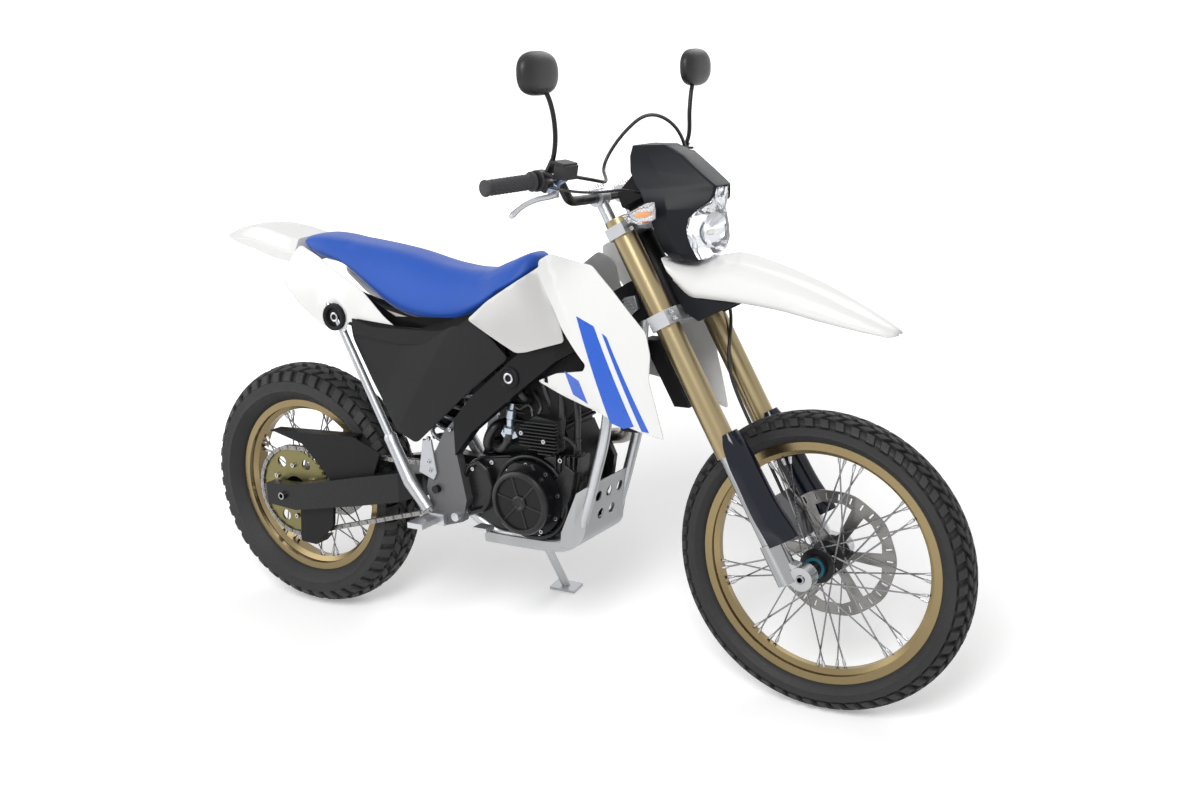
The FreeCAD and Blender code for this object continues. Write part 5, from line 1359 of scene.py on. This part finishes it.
pocket = [(604, 472), (622, 502), (650, 514), (680, 496), (696, 452), (680, 406), (659, 380),
          (616, 366), (601, 400), (597, 436)]
softened("pocketed_cover", [plate(pocket, -1, ((100, 0), (122, 0), (127, 4), (127, 9), (121, 12),
                                               (112, 14)))],
         CAST, ["sprocket_cover"], 1.0, body="chassis", smooth=35)


# --- Cylinder fins ---
# Thin fins cast round the cylinder, one above the other, to shed its heat, under the block of the
# cylinder head's cover. All are painted black with the engine.

fins = []
for k in range(8):
    level, half = 612 + 20 * k, 76 if k < 7 else 72
    fin = [(716, 10 - half), (724, -half), (870, -half), (880, 10 - half), (880, half - 10),
           (870, half), (724, half), (716, half - 10)]
    fins.append(stacked(fin, 2, ((level - 2, 1), (level + 2, 1))))
fins.append(stacked([(712, -72), (884, -72), (884, 72), (712, 72)], 2,
                    ((766, 1), (806, 1), (812, 1))))
softened("cylinder_fins", fins, CAST, [], 0.8, body="chassis")


# --- Finned rectifier ---
# Black cast box on the cylinder's right, with level cooling fins across its face. It stands on a
# stub and is held by two bolts.

box = np.array([(790, 575), (796, 624), (834, 645), (895, 637), (894, 562), (863, 551)], float)
finned = [plate(box, -1, ((108, 0), (131, 0)))]
for level in np.arange(558.0, 640.0, 8.2):
    (x0, z0), (x1, z1) = box.T, np.roll(box, -1, 0).T
    crossed = (z0 - level) * (z1 - level) < 0
    crossings = (x0 + (x1 - x0) * (level - z0) / (z1 - z0))[crossed]
    low, high = crossings.min(), crossings.max()
    finned.append(closed_loft([
        [(low + taper, out, level - half), (high - taper, out, level - half),
         (high - taper, out, level + half), (low + taper, out, level + half)]
        for out, half, taper in ((-131, 1.9, 0), (-144, 1.3, 1))]))
finned.append(rod([(842, -60, 600), (842, -85, 600), (842, -110, 600)], 11, 14))
piece("finned_rectifier", finned, "chassis", CAST, ["rectifier"], smooth=25)


# --- Engine and frame bolts ---
# Round-headed steel bolts that hold the engine's right cover, the rectifier, the sprocket cover and
# the heel plate.

fasteners = []
for out, radius, height, places in (
        (-104, 6.5, 6, ((643, 502), (683, 508), (883, 536), (909, 502), (894, 445), (860, 385),
                        (813, 345), (619, 385))),
        (-104, 6, 6, ((820, 508),)), (-143, 6, 6, ((802, 605), (864, 590))),
        (-127, 5.5, 5, ((640, 492), (612, 380))),
        (-144, 5.5, 5, ((520, 560), (520, 478), (516, 500), (590, 590)))):
    fasteners += [bolt((x, out, z), RIGHT, radius, height) for x, z in places]
piece("silver_bolts", fasteners, "chassis", BOLT_STEEL, smooth=40)


# --- Air valve ---
# Blue-tinted alloy valve that feeds air to the exhaust, on a bracket beside the cylinder: three
# stepped barrels on one axis.

valve = rod([(757, -112, 664), (755, -114, 650), (754, -114, 648), (751, -115, 628),
             (750, -115, 626), (748, -115, 610), (747, -115, 606), (745, -115, 592)],
            (7, 7, 12, 12, 9, 9, 15, 15), 18)
bracket = plate([(722, 588), (728, 598), (764, 596), (770, 584), (758, 578), (730, 578)], -1,
                ((96, 0), (118, 0)))
ALLOY = surface("valve_alloy", (0.40, 0.46, 0.52), 0.28, metal=0.9, grain=300, relief=0.1)
piece("air_valve", [valve, bracket], "chassis", ALLOY, smooth=35)


# --- Engine hoses and wires ---
# Black rubber hoses on the engine's right, pushed over their stubs with a clamp at each end, and
# three thin wires to the rectifier and the valve.

lines = []
for route, radius in (
        ([(878, -92, 560), (880, -96, 600), (886, -96, 642), (884, -90, 690), (870, -74, 740)], 9),
        ([(917, -84, 560), (921, -88, 600), (924, -88, 640), (916, -80, 700), (900, -60, 760)], 8),
        ([(846, -80, 640), (850, -92, 668), (842, -96, 700), (820, -88, 730), (800, -66, 752)], 7),
        ([(792, -70, 660), (784, -98, 676), (770, -104, 700), (760, -96, 730), (764, -70, 760)],
         10),
        ([(747, -115, 590), (738, -118, 566), (716, -112, 548), (690, -96, 545), (672, -70, 552)],
         10),
        ([(700, -60, 600), (690, -98, 596), (676, -106, 570), (668, -98, 545), (664, -66, 530)],
         12),
        ([(902, -120, 600), (914, -112, 590), (920, -100, 570), (912, -92, 548), (890, -88, 540)],
         4),
        ([(836, -120, 648), (838, -112, 662), (826, -102, 676), (806, -92, 690), (790, -66, 700)],
         4),
        ([(818, -120, 640), (812, -114, 658), (798, -110, 664), (772, -106, 650), (757, -112, 660)],
         3.2)):
    path = smooth_rows(np.column_stack((np.arange(len(route)), route)), 22)[:, 1:]
    lines.append(rod(path, radius, 12))
    for start in (3, 18):
        near, far = path[start], path[start + 1]
        lines.append(rod([near, (near + far) / 2, far], radius + 1.6, 12))
piece("engine_hoses", lines, "chassis", HOSE, smooth=50)


# --- Shock spring ---
# Steel coil spring round the single shock, held between two seats: a helix about the line from the
# lower seat to the upper one.

lower, upper = np.array((458, 0, 505)), np.array((532, 0, 745))
lean = (upper - lower) / np.linalg.norm(upper - lower)
turns = np.linspace(0, 7.5 * 2 * np.pi, 190)[:, None]
coil = (lower + (upper - lower) * turns / turns[-1]
        + 39 * (np.cos(turns) * np.cross(lean, (0, 1, 0)) + np.sin(turns) * (0, 1, 0)))
SPRING = surface("spring_steel", (0.35, 0.36, 0.38), 0.3, metal=0.7, relief=0.03)
piece("shock_spring", [rod(coil, 6, 10)], "chassis", SPRING, smooth=50)


# --- Skid plate ---
# Satin aluminium sheet bolted under the engine's cradle: a front face with five large holes and two
# bolt holes, a trough below with folded lips, and a wing on each side beside the frame tubes.

def cut_plate(outlines, thick, chamfer):
    """Flat plate with holes: a filled flat curve given thickness, its doubled corners joined."""
    curve = bpy.data.curves.new("outline", "CURVE")
    curve.dimensions = "2D"
    curve.fill_mode = "BOTH"
    curve.extrude = thick / 2 - chamfer
    curve.bevel_depth = chamfer
    curve.bevel_resolution = 0
    curve.offset = -chamfer
    for outline in outlines:
        line = curve.splines.new("POLY")
        line.points.add(len(outline) - 1)
        line.points.foreach_set("co", np.insert(outline, (2, 2), (0, 1), axis=1).ravel())
        line.use_cyclic_u = True
    holder = bpy.data.objects.new("outline", curve)
    points, faces = taken(bpy.data.meshes.new_from_object(holder))
    bpy.data.objects.remove(holder)
    bpy.data.curves.remove(curve)
    spots, place = np.unique(np.round(points, 3), axis=0, return_inverse=True)
    place = place.ravel()
    joined = [list(dict.fromkeys(place[face].tolist())) for face in faces]
    return spots, [face for face in joined if len(face) > 2]


def circle(middle, radius, steps=28, waves=0, swing=0.0):
    """Flat ring of points whose radius swings the given number of times round it."""
    turn = np.linspace(0, 2 * np.pi, steps, endpoint=False)
    reach = radius + swing * np.cos(waves * turn)
    return np.column_stack((middle[0] + reach * np.cos(turn), middle[1] + reach * np.sin(turn)))


front = np.array([(-88, 0), (88, 0), (93, 60), (92, 118), (70, 124), (-70, 124), (-92, 118),
                  (-93, 60)], float)
holes = [circle(at, 13.5) for at in ((-49, 41), (0, 41), (49, 41), (-26, 94), (26, 94))]
holes += [circle((across, 64 + across / 50), 3, 13) for across in (-80, 80)]
flat, faces = cut_plate([front] + holes, 4, 0.8)
directions = np.array(((0, 1, 0), (-0.205, 0, -0.979), (-0.979, 0, 0.205)))
skid = [((957, 0, 481) + flat @ directions, faces)]

# The trough: place, half width and inward direction of its sheet at each step from the front.
step, x, z, half, toward_x, toward_z = (column[:, None] for column in smooth_rows([
    (0, 935, 366, 90, -0.979, 0.205), (1, 926, 338, 96, -0.90, 0.43),
    (2, 902, 316, 104, -0.5, 0.87), (3, 858, 304, 108, -0.1, 0.99), (4, 760, 301, 110, 0, 1),
    (5, 652, 301, 110, 0, 1)], 30).T)
lip, zero = 4 + 22 * np.minimum(1, step), 0 * step
across = np.hstack((-half - 3, -half, half, half + 3, half, half - 3, 3 - half, -half))
up = np.hstack((lip, zero, zero, lip, lip, zero + 4, zero + 4, lip))
skid.append(closed_loft(np.stack((x + up * toward_x, across, z + up * toward_z), -1)))
wing = np.array([(957, 86, 481), (930, 118, 463), (884, 120, 360), (880, 118, 322),
                 (906, 104, 318), (930, 92, 350)])
skid += [closed_loft(np.array([wing, wing - (2, 4, 0)]) * (1, side, 1)) for side in (-1, 1)]
SATIN = surface("satin_alloy", (0.40, 0.41, 0.42), 0.42, metal=0.75, drift=0.06, grain=600,
                relief=0.05, uneven=0.08)
softened("skid_plate", skid, SATIN, ["bash_plate"], 0.7, body="chassis", smooth=30)


# --- Brake discs ---
# Ground steel rotors with a wavy edge, bolted to the left of each hub: six windows between the
# carrier's tapered arms, and thirty short slots that clean the pads.

window_turn = np.array((13, 30, 47, 52, 41, 30, 19, 8))
slot = np.array([(-7, -2), (7, -2), (8.5, 0), (7, 2), (-7, 2), (-8.5, 0)])
for wheel, middle, out, reach, bore, hub in (("front", FRONT_AXLE, 62, 148.6, 22, 36),
                                             ("rear", REAR_AXLE, 76, 118.6, 30, 44)):
    rotor = [circle((0, 0), reach, 180, 10, 1.3), circle((0, 0), bore, 48)]
    window_reach = np.array([hub + 8] * 3 + [reach - drop for drop in (31, 27, 29, 27, 31)])
    for k in range(6):
        turn = np.radians(60 * k + window_turn)
        rotor.append(np.column_stack((window_reach * np.cos(turn), window_reach * np.sin(turn))))
    for aim in np.radians(12 * np.arange(30)):
        x, y = (slot + (reach - 14, 0)).T
        rotor.append(np.column_stack((x * np.cos(aim) - y * np.sin(aim),
                                      x * np.sin(aim) + y * np.cos(aim))))
    flat, faces = cut_plate(rotor, 5, 0.6)
    piece(wheel + "_rotor", [(middle + (0, out, 0) + flat[:, [0, 2, 1]], faces)],
          wheel + "_wheel", GROUND_STEEL, [wheel + "_disc"], smooth=30)


# --- Spoke nipples and hub seals ---
# Short steel barrels screwed on each wire where it enters the rim, 36 to a wheel, and a blue-green
# rubber seal pressed round the axle on each side of the front hub.

for wheel, middle, flange, out, rim in (("front", FRONT_AXLE, 42.5, 29, 249.7),
                                        ("rear", REAR_AXLE, 60.5, 39, 211.6)):
    barrels = []
    for side in (-1, 1):
        for k in range(18):
            lead = 1 if k % 2 else -1
            begin = 2 * np.pi * k / 18 + (side + 1) * np.pi / 36
            end = begin + lead * math.radians(52)
            at_hub = np.array((flange * math.cos(begin), side * (out + lead * 3.2),
                               flange * math.sin(begin)))
            at_rim = np.array((rim * math.cos(end), side * (6 + lead * 2.6), rim * math.sin(end)))
            aim = (at_rim - at_hub) / np.linalg.norm(at_rim - at_hub)
            barrels.append(rod([middle + at_rim - aim * d for d in (18, 12, 2)],
                               (2.8, 3.8, 4.2), 8))
    piece(wheel + "_nipples", barrels, wheel + "_wheel", BOLT_STEEL, smooth=50)
SEAL = surface("hub_seal", (0.01, 0.10, 0.14), 0.4, drift=0.1, relief=0.1, shine=0.3)
seals = [lathe(np.array(((47, 25), (50, 24), (50, 18), (47, 17))) * (side, 1), FRONT_AXLE, 40)
         for side in (-1, 1)]
piece("hub_seals", seals, "front_wheel", SEAL, smooth=40)
